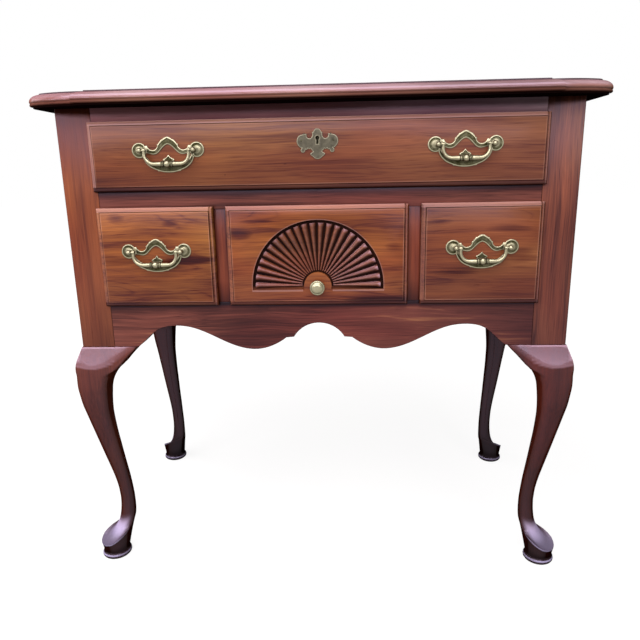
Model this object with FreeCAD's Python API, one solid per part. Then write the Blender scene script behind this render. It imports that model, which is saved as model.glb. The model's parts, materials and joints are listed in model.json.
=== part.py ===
import FreeCAD, Part
import math
import os

# A lowboy: four posts on cabriole legs, one long drawer over three short ones.
# Millimetres. X is to the right, Y to the back, Z up. The origin lies on the floor,
# under the middle of the top board. Each piece is written to its own STEP file.

V = FreeCAD.Vector
UP = V(0, 0, 1)
BACK = V(0, 1, 0)
RIGHT = V(1, 0, 0)

# ---------------------------------------------------------------- driving dimensions

# Case
case_width = 740.0
case_depth = 378.0
case_height = 352.0
leg_height = 375.0
post_size = 51.0
post_arris = 1.5
top_thickness = 20.0
front_overhang = 42.0
side_overhang = 34.0
rear_overhang = 24.0
glue_gap = 0.15           # round a tenon, a tongue or a dowel that is glued

# Edge of the top board: a quirk, a thumb moulding and a small bead under it
thumb_width = 14.0
thumb_drop = 10.0
quirk_depth = 2.0
bead_width = 3.0
bead_drop = 6.0
under_quirk = 1.5

# Shaped front corners of the top board
corner_length = 77.0      # along the front edge
corner_step = 8.0         # where the front edge steps back
corner_radius = 30.0      # at the side
corner_depth = 40.0       # from the step back to the straight side

# Rails, apron and dividers
rail_depth = 45.0
rail_tenon = 20.0
rail_tenon_thickness = 10.0
tenon_shoulder = 4.0
divider_width = 26.0
divider_depth = 22.0
divider_tenon = 8.0
apron_thickness = 22.0
apron_foot_margin = 6.5   # of the flat foot past the knee block
arch_half_width = 38.5
arch_rise = 36.5
arch_spring = 14.5        # height of the arch's ends over the apron's foot
cusp_width = 11.8
cusp_drop = 1.0
# share of the way from the cusp to the foot, and height over the foot
apron_curve = ((0.077, 2.5), (0.192, -4.7), (0.337, 0.6), (0.488, 16.7),
               (0.636, 30.5), (0.740, 33.2), (0.853, 28.0), (0.935, 13.0))

# Sides and back
side_thickness = 19.0
side_recess = 2.0
side_tongue = 10.0
side_tongue_thickness = 8.0
# share of the way from the foot to the middle of the side, and height over the foot
side_curve = ((0.0, 0.0), (0.14, 11.0), (0.34, 25.0), (0.62, 32.0), (1.0, 33.0))
back_thickness = 12.0
back_recess = 2.0
back_drop = 36.0          # from the lower opening's floor to the back's lower edge
back_tongue_thickness = 6.0

# Drawer openings; the lower one takes the height that is left
top_rail_height = 23.4
top_opening_height = 89.0
middle_rail_height = 31.3
apron_height = 70.0       # at the knees
centre_opening_width = 256.4

# Frame inside the case
runner_width = 26.0
runner_height = 20.0
guide_height = 18.0
cross_rail_depth = 20.0
corner_block = 30.0
corner_block_height = 40.0

# Drawers
lip_overlap = 4.0
lip_gap = 0.3             # between a closed drawer's lip and the case
lip_edge = 4.0
ovolo_width = 5.6
ovolo_rise = 5.0
ovolo_quirk = 1.0
quirk_width = 1.3
inner_front = 10.0        # part of the front that lies in the opening
front_play = 1.0          # round the front in its opening
side_play = 1.0
drawer_rear_room = 16.0   # from a closed drawer to the rear cross rail
board = 12.0              # sides and backs
bottom_board = 6.0
bottom_height = 9.0       # groove's lower edge over the drawer's lower edge
groove = 5.0
groove_play = 0.1
slide_play = 0.3          # between a drawer and its runners
side_drop = 5.0           # sides and backs are lower than the opening
tail_length = 7.5
tail_pitch = 28.0
tail_width = 17.0
tail_slope = 2.0
back_dado = 4.0
back_inset = 12.0

# Fan carved in the middle drawer; it fills the front up to these margins
fan_side_margin = 35.5
fan_top_margin = 20.6
fan_channel = 4.5
fan_hub = 20.2
fan_hub_channel = 3.0
fan_depth = 6.0
fan_ribs = 24
fan_foot = 5.2            # from the fan's centre down to its flat lower edge
fan_height = 29.0         # of the fan's centre over the lip's lower edge
rib_share = 0.96          # of the room each rib has

# Drawer pulls
pull_centres = 76.2
pull_height = 10.1        # pivots over the middle of a short drawer
top_pull_inset = 111.5    # from the end of the long opening to the middle of a pull
top_pull_height = 7.7     # pivots over the middle of the long drawer
plate_thickness = 1.8
rosette_radius = 10.6
rosette_offset = 3.0      # outwards from the post
bolt_diameter = 4.0
bolt_play = 0.15
post_neck = 6.0
post_ball = 7.4
post_reach = 8.5          # pivots in front of the plate
nut_size = 9.0
nut_height = 3.0
pivot_diameter = 2.8
pivot_play = 0.08
pivot_end_play = 0.4
bail_half_width = 31.6
bail_drop = 18.7
bail_arm = 4.6
bail_knuckle = 5.4        # round end of each arm, at its pivot
bail_bend = 13.5
grip_diameter = 6.8
grip_ball = 9.2
grip_ring = 8.6
grip_ring_width = 1.6
grip_ring_offset = 6.2

# Knob
knob_diameter = 22.0
knob_reach = 19.0
knob_base = 13.0
knob_base_height = 2.5
knob_neck = 7.5
knob_head = 8.0
knob_screw_diameter = 4.0
knob_screw_head = 9.0
knob_screw_head_height = 2.5
knob_thread_depth = 9.0

# Escutcheon and lock
lock_offset = 3.6         # of the lock and its plate, to the right of the middle
escutcheon_thickness = 1.2
escutcheon_height = 16.8  # its middle over the middle of the long drawer
key_eye_height = 3.4      # over the middle of the escutcheon
key_eye = 3.0
key_slot = 3.4
key_drop = 8.4
pin_offset = 22.2
pin_diameter = 1.4
pin_head = 3.0
pin_length = 9.0
lock_width = 52.0
lock_height = 40.0
lock_depth = 12.0
lock_wall = 1.5
bolt_width = 15.0
bolt_height = 12.0
bolt_travel = 8.0
lock_play = 0.2

# Knee, leg and foot
leg_ledge = 1.0           # how far the leg's top stands proud of the case
leg_trim = 1.5            # cut off the top of the shank to bring its inner faces flush with the post's
leg_tenon = 24.0
leg_tenon_length = 36.0
knee_block_length = 31.5
knee_block_drop = 36.0
knee_block_depth = 30.0
# share of the way from the foot to the case, outer and inner face from the case's face as shares
# of the post, roundness
leg_shape = ((0.9652, 0.108, -1.000, 0.12), (0.9272, 0.196, -1.000, 0.20), (0.8967, 0.231, -0.984, 0.26),
             (0.8620, 0.245, -0.788, 0.33), (0.8120, 0.241, -0.653, 0.38), (0.7250, 0.184, -0.594, 0.46),
             (0.6087, 0.043, -0.602, 0.60), (0.4924, -0.102, -0.671, 0.74), (0.3772, -0.255, -0.747, 0.85),
             (0.2609, -0.378, -0.822, 0.90), (0.1739, -0.398, -0.859, 0.90), (0.1163, -0.363, -0.859, 0.90),
             (0.0728, -0.225, -0.816, 0.90), (0.0326, 0.016, -0.769, 0.90), (0.0000, 0.196, -0.718, 0.90))
foot_centre = 12.1        # inside the case's two faces
foot_rim = 23.9
foot_rim_height = 26.0
foot_crown = 4.5          # from the rim to the top of the pad, where the ankle joins it
foot_waist = 20.6
foot_waist_height = 11.5
foot_disc = 23.9
foot_disc_height = 5.5
foot_sole = 18.0

# Screws that hold the top
screw_diameter = 4.0
screw_head = 8.0
screw_head_height = 2.5
screw_bite = 12.0
screw_play = 0.1

# ---------------------------------------------------------------- places worked out from them

front = front_overhang - (case_depth + front_overhang + rear_overhang) / 2
back = front + case_depth
middle_y = (front + back) / 2
half_width = case_width / 2
half_inner = half_width - post_size
case_top = leg_height + case_height
top_face = case_top + top_thickness
nose_x = half_width + side_overhang
nose_front = front - front_overhang
nose_back = back + rear_overhang
post_back = front + post_size
rear_post_front = back - post_size

top_open = (case_top - top_rail_height - top_opening_height, case_top - top_rail_height)
low_open = (leg_height + apron_height, top_open[0] - middle_rail_height)
half_centre = centre_opening_width / 2
short_open_x = (half_centre + divider_width, half_inner)

side_face = half_width - side_recess
side_inner = side_face - side_thickness
back_face = back - back_recess
back_inner = back_face - back_thickness
cross_front = back_inner - cross_rail_depth
apron_foot = knee_block_length + apron_foot_margin

lip_back = front - lip_gap
lip_front = lip_back - lip_edge
ovolo_front = lip_front - ovolo_rise
field = ovolo_front - ovolo_quirk
front_back = front + inner_front
drawer_end = cross_front - drawer_rear_room
fan_radius = min(half_centre + lip_overlap - fan_side_margin,
                 low_open[1] - low_open[0] + 2 * lip_overlap - fan_height - fan_top_margin)
top_pull_offset = half_inner - top_pull_inset
plate_face = field - plate_thickness
pivot_y = plate_face - post_reach

parts = {}


# ---------------------------------------------------------------- helpers

def block(x, y, z):
    """A box between three pairs of low and high values."""
    return Part.makeBox(x[1] - x[0], y[1] - y[0], z[1] - z[0], V(x[0], y[0], z[0]))


def rod(diameter, start, direction, length):
    """A round bar."""
    return Part.makeCylinder(diameter / 2, length, start, direction)


def line(a, b):
    return Part.LineSegment(a, b).toShape()


def arc(a, middle, b):
    return Part.Arc(a, middle, b).toShape()


def curve(points):
    """A smooth curve through points."""
    spline = Part.BSplineCurve()
    spline.interpolate(points)
    return spline.toShape()


def slab(edges, thickness):
    """A closed outline of edges, extruded."""
    return Part.Face(Part.Wire(Part.__sortEdges__(edges))).extrude(thickness)


def polygon(points):
    return [line(a, b) for a, b in zip(points, points[1:] + points[:1])]


def mirror_x(shape):
    return shape.mirror(V(0, 0, 0), RIGHT)


def mirror_y(shape):
    """The same piece at the other end of the case."""
    return shape.mirror(V(0, middle_y, 0), BACK)


def group(shapes):
    return Part.makeCompound(shapes)


def joined(shape, others):
    return shape.fuse(others).removeSplitter()


def turned(profile, axis_point, axis):
    """A turned piece from a closed (radius, height) profile; the axis is BACK, UP or their reverse."""
    side = RIGHT
    points = [axis_point + side * radius + axis * height for radius, height in profile]
    return Part.Face(Part.Wire(polygon(points))).revolve(axis_point, axis, 360)


# ---------------------------------------------------------------- top board

def board_outline(inset, z):
    """The top's outline at a height, set in from its nose line."""
    x_side = nose_x - inset
    y_front = nose_front + inset
    y_back = nose_back - inset
    x_step = nose_x - corner_length - inset
    lobe_front = nose_front + corner_step
    y_side = lobe_front + corner_depth
    small_x = nose_x - corner_radius
    # the large arc starts square to the front under the step and runs into the small one
    start_x = nose_x - corner_length
    across = small_x - start_x
    spread = corner_radius ** 2 - across ** 2 - corner_depth ** 2
    large_radius = spread / (2 * (corner_radius - corner_depth))
    large_y = lobe_front + large_radius
    toward = V(small_x - start_x, y_side - large_y, 0).normalize()
    large = large_radius - inset
    small = corner_radius - inset
    step_y = large_y - math.sqrt(large ** 2 - inset ** 2)
    corner = V(x_step, y_front, z)
    inner = V(x_step, step_y, z)
    meet = V(start_x + large * toward.x, large_y + large * toward.y, z)
    start_angle = math.atan2(step_y - large_y, x_step - start_x)
    meet_angle = math.atan2(toward.y, toward.x)
    half = (start_angle + meet_angle) / 2
    large_middle = V(start_x + large * math.cos(half), large_y + large * math.sin(half), z)
    half = meet_angle / 2
    small_middle = V(small_x + small * math.cos(half), y_side + small * math.sin(half), z)
    side = V(x_side, y_side, z)
    rear = V(x_side, y_back, z)

    def left(point):
        return V(-point.x, point.y, point.z)

    edges = [line(left(corner), corner), line(corner, inner), arc(inner, large_middle, meet),
             arc(meet, small_middle, side), line(side, rear), line(rear, left(rear)),
             line(left(rear), left(side)), arc(left(side), left(small_middle), left(meet)),
             arc(left(meet), left(large_middle), left(inner)), line(left(inner), left(corner))]
    return Part.Wire(edges)


def top_board():
    """A board with a thumb moulding all round and shaped front corners."""
    nose = top_face - quirk_depth - thumb_drop
    levels = [(thumb_width, top_face), (thumb_width, top_face - quirk_depth)]
    for angle in (22, 42, 60, 76, 90):
        turn = math.radians(angle)
        levels.append((thumb_width * (1 - math.sin(turn)), nose + thumb_drop * math.cos(turn)))
    for angle in (35, 65, 90):
        turn = math.radians(angle)
        levels.append((bead_width * (1 - math.cos(turn)), nose - bead_drop * math.sin(turn)))
    levels.append((bead_width + under_quirk, nose - bead_drop))
    levels.append((bead_width + under_quirk, case_top))
    bands = []
    for (inset_a, z_a), (inset_b, z_b) in zip(levels, levels[1:]):
        if z_a - z_b > 1e-6:
            pair = [board_outline(inset_b, z_b), board_outline(inset_a, z_a)]
            bands.append(Part.makeLoft(pair, True, True))
    return bands[0].fuse(bands[1:])


# ---------------------------------------------------------------- rails, apron and dividers

def tenon_heights(z):
    return (z[0] + tenon_shoulder, z[1] - tenon_shoulder)


def tenon(z, y_middle, gap):
    """A rail's right tenon, or its mortise when it is given a gap."""
    half = rail_tenon_thickness / 2 + gap
    return block((half_inner, half_inner + rail_tenon + gap), (y_middle - half, y_middle + half),
                 (z[0] - gap, z[1] + gap))


rail_middle = front + rail_depth / 2
apron_middle = front + apron_thickness / 2
top_rail_z = (top_open[1], case_top)
middle_rail_z = (low_open[1], top_open[0])
apron_tenon_z = (leg_height + leg_tenon_length + tenon_shoulder * 2, low_open[0] - tenon_shoulder)
divider_middle = half_centre + divider_width / 2
lock_y = (front_back + lock_wall, front_back + lock_depth - lock_wall)


def divider_stub(z_low, gap):
    """The small tenon at either end of a divider."""
    half_x = divider_width / 2 - tenon_shoulder + gap
    half_y = divider_depth / 2 - tenon_shoulder + gap
    y_middle = front + divider_depth / 2
    return block((divider_middle - half_x, divider_middle + half_x), (y_middle - half_y, y_middle + half_y),
                 (z_low, z_low + divider_tenon + gap))


def rail(z):
    """A rail between the front posts, with a tenon at each end."""
    bar = block((-half_inner, half_inner), (front, front + rail_depth), z)
    end = tenon(tenon_heights(z), rail_middle, 0)
    return joined(bar, [end, mirror_x(end)])


def top_rail():
    half = bolt_width / 2 + lock_play * 2
    slot = block((lock_offset - half, lock_offset + half),
                 (lock_y[0] - lock_play, lock_y[1] + lock_play),
                 (top_open[1] - 1, top_open[1] + bolt_travel + 2))
    return rail(top_rail_z).cut(slot)


def middle_rail():
    socket = divider_stub(low_open[1], glue_gap)
    return rail(middle_rail_z).cut([socket, mirror_x(socket)])


def apron_half_curve():
    """Points of the apron's curved edge on the right, from the cusp to the foot."""
    cusp_x = arch_half_width + cusp_width
    cusp_z = leg_height + arch_spring - cusp_drop
    foot_x = half_inner - apron_foot
    points = [V(cusp_x, front, cusp_z)]
    for share, height in apron_curve:
        points.append(V(cusp_x + share * (foot_x - cusp_x), front, leg_height + height))
    points.append(V(foot_x, front, leg_height))
    return points


def front_apron():
    """The scalloped apron: a middle arch, two drops, and an arch beside each knee."""
    def left(point):
        return V(-point.x, point.y, point.z)

    right_curve = apron_half_curve()
    spring = V(arch_half_width, front, leg_height + arch_spring)
    crown = V(0, front, leg_height + arch_rise)
    foot = V(half_inner, front, leg_height)
    upper = V(half_inner, front, low_open[0])
    edges = [arc(left(spring), crown, spring), line(spring, right_curve[0]), curve(right_curve),
             line(right_curve[-1], foot), line(foot, upper), line(upper, left(upper)),
             line(left(upper), left(foot)), line(left(foot), left(right_curve[-1])),
             curve([left(point) for point in right_curve]), line(left(right_curve[0]), left(spring))]
    end = tenon(apron_tenon_z, apron_middle, 0)
    body = joined(slab(edges, BACK * apron_thickness), [end, mirror_x(end)])
    socket = divider_stub(low_open[0] - divider_tenon - glue_gap, glue_gap)
    return body.cut([socket, mirror_x(socket)])


def divider():
    body = block((half_centre, half_centre + divider_width), (front, front + divider_depth), low_open)
    return joined(body, [divider_stub(low_open[0] - divider_tenon, 0), divider_stub(low_open[1], 0)])


# ---------------------------------------------------------------- posts, sides and back

def side_tongue_box(gap):
    """The tongue along a side panel's front edge, on the right."""
    middle = side_inner + side_thickness / 2
    half = side_tongue_thickness / 2 + gap
    return block((middle - half, middle + half), (post_back - side_tongue - gap, post_back),
                 (leg_height + leg_tenon_length + tenon_shoulder * 2, case_top))


def side_panel():
    """The right side, with a tongue along each end and a shaped lower edge."""
    foot_y = post_back + apron_foot
    span = middle_y - foot_y
    front_half = [V(side_inner, foot_y + share * span, leg_height + height) for share, height in side_curve]
    rear_half = [V(p.x, 2 * middle_y - p.y, p.z) for p in reversed(front_half[:-1])]
    lower = front_half + rear_half
    corners = [V(side_inner, rear_post_front, leg_height), V(side_inner, rear_post_front, case_top),
               V(side_inner, post_back, case_top), V(side_inner, post_back, leg_height)]
    edges = [curve(lower), line(lower[-1], corners[0])]
    edges += [line(a, b) for a, b in zip(corners, corners[1:])]
    edges.append(line(corners[-1], lower[0]))
    tongue = side_tongue_box(0)
    return joined(slab(edges, RIGHT * side_thickness), [tongue, mirror_y(tongue)])


back_z = (low_open[0] - back_drop, case_top)


def back_tongue(gap):
    middle = back_inner + back_thickness / 2
    half = back_tongue_thickness / 2 + gap
    return block((half_inner, half_inner + side_tongue + gap), (middle - half, middle + half), back_z)


def back_panel():
    tongue = back_tongue(0)
    body = block((-half_inner, half_inner), (back_inner, back_face), back_z)
    return joined(body, [tongue, mirror_x(tongue)])


def post_blank():
    """A right front post before its joints, with its outer arris eased."""
    body = block((half_inner, half_width), (front, post_back), (leg_height, case_top))
    arris = [edge for edge in body.Edges
             if all(abs(v.X - half_width) < 1e-3 and abs(v.Y - front) < 1e-3 for v in edge.Vertexes)]
    return body.makeFillet(post_arris, arris)


def leg_tenon_rod(gap):
    start = V(half_width - post_size / 2, front + post_size / 2, leg_height)
    return rod(leg_tenon + 2 * gap, start, UP, leg_tenon_length + gap)


def front_post():
    cuts = [leg_tenon_rod(glue_gap), side_tongue_box(glue_gap)]
    for z in (top_rail_z, middle_rail_z):
        cuts.append(tenon(tenon_heights(z), rail_middle, glue_gap))
    cuts.append(tenon(apron_tenon_z, apron_middle, glue_gap))
    return post_blank().cut(cuts)


def rear_post():
    cuts = [mirror_y(leg_tenon_rod(glue_gap)), mirror_y(side_tongue_box(glue_gap)), back_tongue(glue_gap)]
    return mirror_y(post_blank()).cut(cuts)


# ---------------------------------------------------------------- frame inside the case

def side_bar(z, guide_z, y_front):
    """A bar along the case's right side: a runner with its guide, or a cleat."""
    bar = block((half_inner - runner_width, half_inner), (y_front, cross_front), z)
    guide = block((half_inner, side_inner), (post_back, rear_post_front), guide_z)
    return joined(bar, [guide])


def upper_runner():
    z = (top_open[0] - runner_height, top_open[0])
    return side_bar(z, (z[0], z[1] + guide_height), front + rail_depth)


def lower_runner():
    z = (low_open[0] - runner_height, low_open[0])
    return side_bar(z, (z[0], z[1] + guide_height), front + apron_thickness)


def middle_runner():
    """The runner under a divider, which carries two drawers."""
    return block((half_centre - runner_width / 2, half_centre + divider_width + runner_width / 2),
                 (front + apron_thickness, cross_front), (low_open[0] - runner_height, low_open[0]))


def drawer_guide():
    return block((half_centre, half_centre + divider_width), (front + divider_depth, cross_front),
                 (low_open[0], low_open[0] + guide_height))


def cross_rail(z_top):
    """A rail across the back that carries the runners' rear ends."""
    return block((-half_inner, half_inner), (cross_front, back_inner), (z_top - runner_height, z_top))


def top_cleat():
    """A cleat under the top, which also keeps the open long drawer from tipping."""
    return side_bar(top_rail_z, top_rail_z, front + rail_depth)


def corner_brace(x, y, toward_back):
    """A three-cornered block glued inside a lower corner of the case."""
    z_low = low_open[0] - runner_height - corner_block_height
    points = [V(x, y, z_low), V(x - corner_block, y, z_low), V(x, y + toward_back * corner_block, z_low)]
    return Part.Face(Part.Wire(polygon(points))).extrude(UP * corner_block_height)


screw_x = half_inner - runner_width / 2
cleat_screw_y = (post_back + 20.0, middle_y, rear_post_front - 20.0)
rail_screw_x = (half_inner / 3, half_inner - runner_width * 2)


def screw_places():
    places = [(screw_x, y) for y in cleat_screw_y]
    places += [(x, rail_middle + rail_tenon_thickness) for x in rail_screw_x]
    return [(side * x, y) for side in (-1, 1) for x, y in places]


def top_screw(x, y, gap):
    """A screw up through a cleat or the top rail into the top."""
    head = rod(screw_head + 2 * gap, V(x, y, top_open[1]), UP, screw_head_height + gap)
    shank = rod(screw_diameter + 2 * gap, V(x, y, top_open[1]), UP, top_rail_height + screw_bite + gap)
    return joined(head, [shank])


# ---------------------------------------------------------------- legs

def rounded_square(out, inner, roundness, z):
    """The section of a right front leg: out and inner count from the case's two faces."""
    low = V(half_width + inner, front - out, z)
    high = V(half_width + out, front - inner, z)
    r = (out - inner) / 2 * roundness
    c = r * (1 - math.sqrt(0.5))
    x0, x1, y0, y1 = low.x, high.x, low.y, high.y
    edges = [line(V(x0 + r, y0, z), V(x1 - r, y0, z)),
             arc(V(x1 - r, y0, z), V(x1 - c, y0 + c, z), V(x1, y0 + r, z)),
             line(V(x1, y0 + r, z), V(x1, y1 - r, z)),
             arc(V(x1, y1 - r, z), V(x1 - c, y1 - c, z), V(x1 - r, y1, z)),
             line(V(x1 - r, y1, z), V(x0 + r, y1, z)),
             arc(V(x0 + r, y1, z), V(x0 + c, y1 - c, z), V(x0, y1 - r, z)),
             line(V(x0, y1 - r, z), V(x0, y0 + r, z)),
             arc(V(x0, y0 + r, z), V(x0 + c, y0 + c, z), V(x0 + r, y0, z))]
    return Part.Wire(edges)


foot_join = foot_rim_height + foot_crown - 0.5
leg_stations = [(out * post_size, inner * post_size, roundness, foot_join + share * (leg_height - foot_join))
                for share, out, inner, roundness in leg_shape]


def leg():
    """A right front cabriole leg with its pad foot and round tenon."""
    square = -post_size - leg_trim
    sections = [rounded_square(leg_ledge, square, 0.1, leg_height)]
    for out, inner, roundness, z in leg_stations:
        sections.append(rounded_square(out, square if inner <= -post_size else inner, roundness, z))
    shank = Part.makeLoft(sections, True, False)
    # its two inner faces are flush with the post's, where the knee blocks are glued
    shank = shank.common(block((half_inner, nose_x), (nose_front, post_back), (0, leg_height)))
    centre = V(half_width - foot_centre, front + foot_centre, 0)
    pad = turned([(0, 0), (foot_sole, 0), (foot_disc - 1.2, 1.6), (foot_disc, foot_disc_height),
                  (foot_disc - 1.0, foot_waist_height - 2.2), (foot_waist, foot_waist_height),
                  (foot_waist + 0.8, foot_waist_height + 5.0), (foot_rim, foot_rim_height),
                  (foot_rim - 1.5, foot_rim_height + foot_crown * 0.45),
                  (foot_rim - 4.0, foot_rim_height + foot_crown), (0, foot_rim_height + foot_crown)],
                 centre, UP)
    return joined(shank, [pad, leg_tenon_rod(0)])


def knee_block():
    """The bracket beside a right front leg's knee, under the apron."""
    inner_x = half_width - post_size
    tip = inner_x - knee_block_length
    low = leg_height - knee_block_drop
    points = [V(inner_x, nose_front, low), V(inner_x - knee_block_length * 0.26, nose_front, low + 10.5),
              V(inner_x - knee_block_length * 0.64, nose_front, low + 24.5), V(tip, nose_front, leg_height)]
    edges = [curve(points), line(points[-1], V(inner_x, nose_front, leg_height)),
             line(V(inner_x, nose_front, leg_height), points[0])]
    wing = slab(edges, BACK * (front_overhang + knee_block_depth))
    face = [V(tip, front - leg_ledge, leg_height)]
    for out, _, _, z in leg_stations:
        if z > low - 4.0:
            face.append(V(tip, front - out, z))
    lowest = face[-1]
    profile = [curve(face), line(lowest, V(tip, front + knee_block_depth, lowest.z)),
               line(V(tip, front + knee_block_depth, lowest.z), V(tip, front + knee_block_depth, leg_height)),
               line(V(tip, front + knee_block_depth, leg_height), face[0])]
    return wing.common(slab(profile, RIGHT * knee_block_length))


def side_knee_block():
    """The same bracket turned under the right side: the case's two faces change places."""
    return knee_block().mirror(V(half_width, front, 0), V(1, 1, 0))


# ---------------------------------------------------------------- drawers

def moulded_front(x, z, opening_x, opening_z):
    """A lipped front: a lip, an ovolo with a quirk, a flat field and the part in the opening."""
    levels = [(0.0, lip_back), (0.0, lip_front)]
    for angle in (30, 60, 90):
        turn = math.radians(angle)
        levels.append((ovolo_width * (1 - math.cos(turn)), lip_front - ovolo_rise * math.sin(turn)))
    levels.append((ovolo_width + quirk_width, ovolo_front))
    levels.append((ovolo_width + quirk_width, field))

    def ring(inset, y):
        x0, x1, z0, z1 = x[0] + inset, x[1] - inset, z[0] + inset, z[1] - inset
        return Part.Wire(polygon([V(x0, y, z0), V(x1, y, z0), V(x1, y, z1), V(x0, y, z1)]))

    solids = [block((opening_x[0] + front_play, opening_x[1] - front_play), (lip_back, front_back),
                    (opening_z[0] + front_play, opening_z[1] - front_play))]
    for (inset_a, y_a), (inset_b, y_b) in zip(levels, levels[1:]):
        if y_a - y_b > 1e-6:
            solids.append(Part.makeLoft([ring(inset_a, y_a), ring(inset_b, y_b)], True, True))
    return solids[0].fuse(solids[1:])


def tails(x, z, gap):
    """The dovetails on the front end of one drawer side, which spans x."""
    count = max(2, int((z[1] - z[0]) / tail_pitch))
    pitch = (z[1] - z[0]) / count
    shapes = []
    for index in range(count):
        middle = z[0] + pitch * (index + 0.5)
        half = tail_width / 2
        y_tip = front_back - tail_length - gap
        points = [V(x[0] - gap, front_back, middle - half + tail_slope - gap),
                  V(x[0] - gap, y_tip, middle - half - gap), V(x[0] - gap, y_tip, middle + half + gap),
                  V(x[0] - gap, front_back, middle + half - tail_slope + gap)]
        shapes.append(Part.Face(Part.Wire(polygon(points))).extrude(RIGHT * (x[1] - x[0] + 2 * gap)))
    return shapes


def drawer(name, opening_x, opening_z, carve=None):
    """Front, two sides, back and bottom of one drawer, and the space inside it."""
    lip_x = (opening_x[0] - lip_overlap, opening_x[1] + lip_overlap)
    lip_z = (opening_z[0] - lip_overlap, opening_z[1] + lip_overlap)
    outer_x = (opening_x[0] + side_play, opening_x[1] - side_play)
    inner_x = (outer_x[0] + board, outer_x[1] - board)
    side_z = (opening_z[0] + slide_play, opening_z[1] - side_drop)
    floor_z = (side_z[0] + bottom_height, side_z[0] + bottom_height + bottom_board)
    back_y = (drawer_end - back_inset - board, drawer_end - back_inset)

    front_piece = moulded_front(lip_x, lip_z, opening_x, opening_z)
    sides = []
    sockets = []
    for side_x, inward in (((outer_x[0], inner_x[0]), 1), ((inner_x[1], outer_x[1]), -1)):
        piece = joined(block(side_x, (front_back, drawer_end), side_z), tails(side_x, side_z, 0))
        sockets += tails(side_x, side_z, groove_play)
        face = side_x[1] if inward > 0 else side_x[0]
        depth = sorted((face - inward * groove, face + inward))
        piece = piece.cut(block(depth, (front_back - tail_length - 1, drawer_end + 1),
                                (floor_z[0] - groove_play, floor_z[1] + groove_play)))
        dado = sorted((face - inward * back_dado, face + inward))
        piece = piece.cut(block(dado, (back_y[0] - groove_play, back_y[1] + groove_play),
                                (floor_z[1] + groove_play, side_z[1] + 1)))
        sides.append(piece)
    groove_x = (inner_x[0] - groove, inner_x[1] + groove)
    front_groove = block(groove_x, (front_back - groove, front_back + 1),
                         (floor_z[0] - groove_play, floor_z[1] + groove_play))
    front_piece = front_piece.cut(sockets + [front_groove])
    if carve:
        front_piece = carve(front_piece, (lip_x[0] + lip_x[1]) / 2, lip_z)
    reach = back_dado - groove_play
    back_piece = block((inner_x[0] - reach, inner_x[1] + reach), back_y,
                       (floor_z[1] + groove_play, side_z[1]))
    bottom = block((groove_x[0] + groove_play * 2, groove_x[1] - groove_play * 2),
                   (front_back - groove + groove_play * 2, drawer_end), floor_z)
    parts[name + "_drawer_front"] = front_piece
    parts[name + "_drawer_sides"] = group(sides)
    parts[name + "_drawer_back"] = back_piece
    parts[name + "_drawer_bottom"] = bottom


def fan(front_piece, x, lip_z):
    """A half-round fan of tapering convex ribs, sunk in the field round a plain hub."""
    z = lip_z[0] + fan_height
    floor = field + fan_depth
    foot_z = z - fan_foot
    centre = V(x, floor, z)
    disc = rod(2 * fan_radius, centre, -BACK, fan_depth + 1)
    above = block((x - fan_radius, x + fan_radius), (field - 2, floor + 1), (foot_z, z + fan_radius + 1))
    carved = front_piece.cut(disc.common(above))
    reach = fan_radius - fan_channel
    start = fan_hub + fan_hub_channel
    lean = math.asin(fan_foot / fan_radius)
    turn = (math.pi + 2 * lean) / fan_ribs
    slope = math.tan(turn / 2) * rib_share
    ribs = []
    for index in range(fan_ribs):
        angle = -lean + turn * (index + 0.5)
        along = V(math.cos(angle), 0, math.sin(angle))
        cone = Part.makeCone(start * slope, reach * slope, reach - start, centre + along * start, along)
        ribs.append(cone.common(above))
    hub = rod(2 * fan_hub, centre, -BACK, fan_depth).common(above)
    return joined(carved, ribs + [hub])


# ---------------------------------------------------------------- pulls

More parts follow.
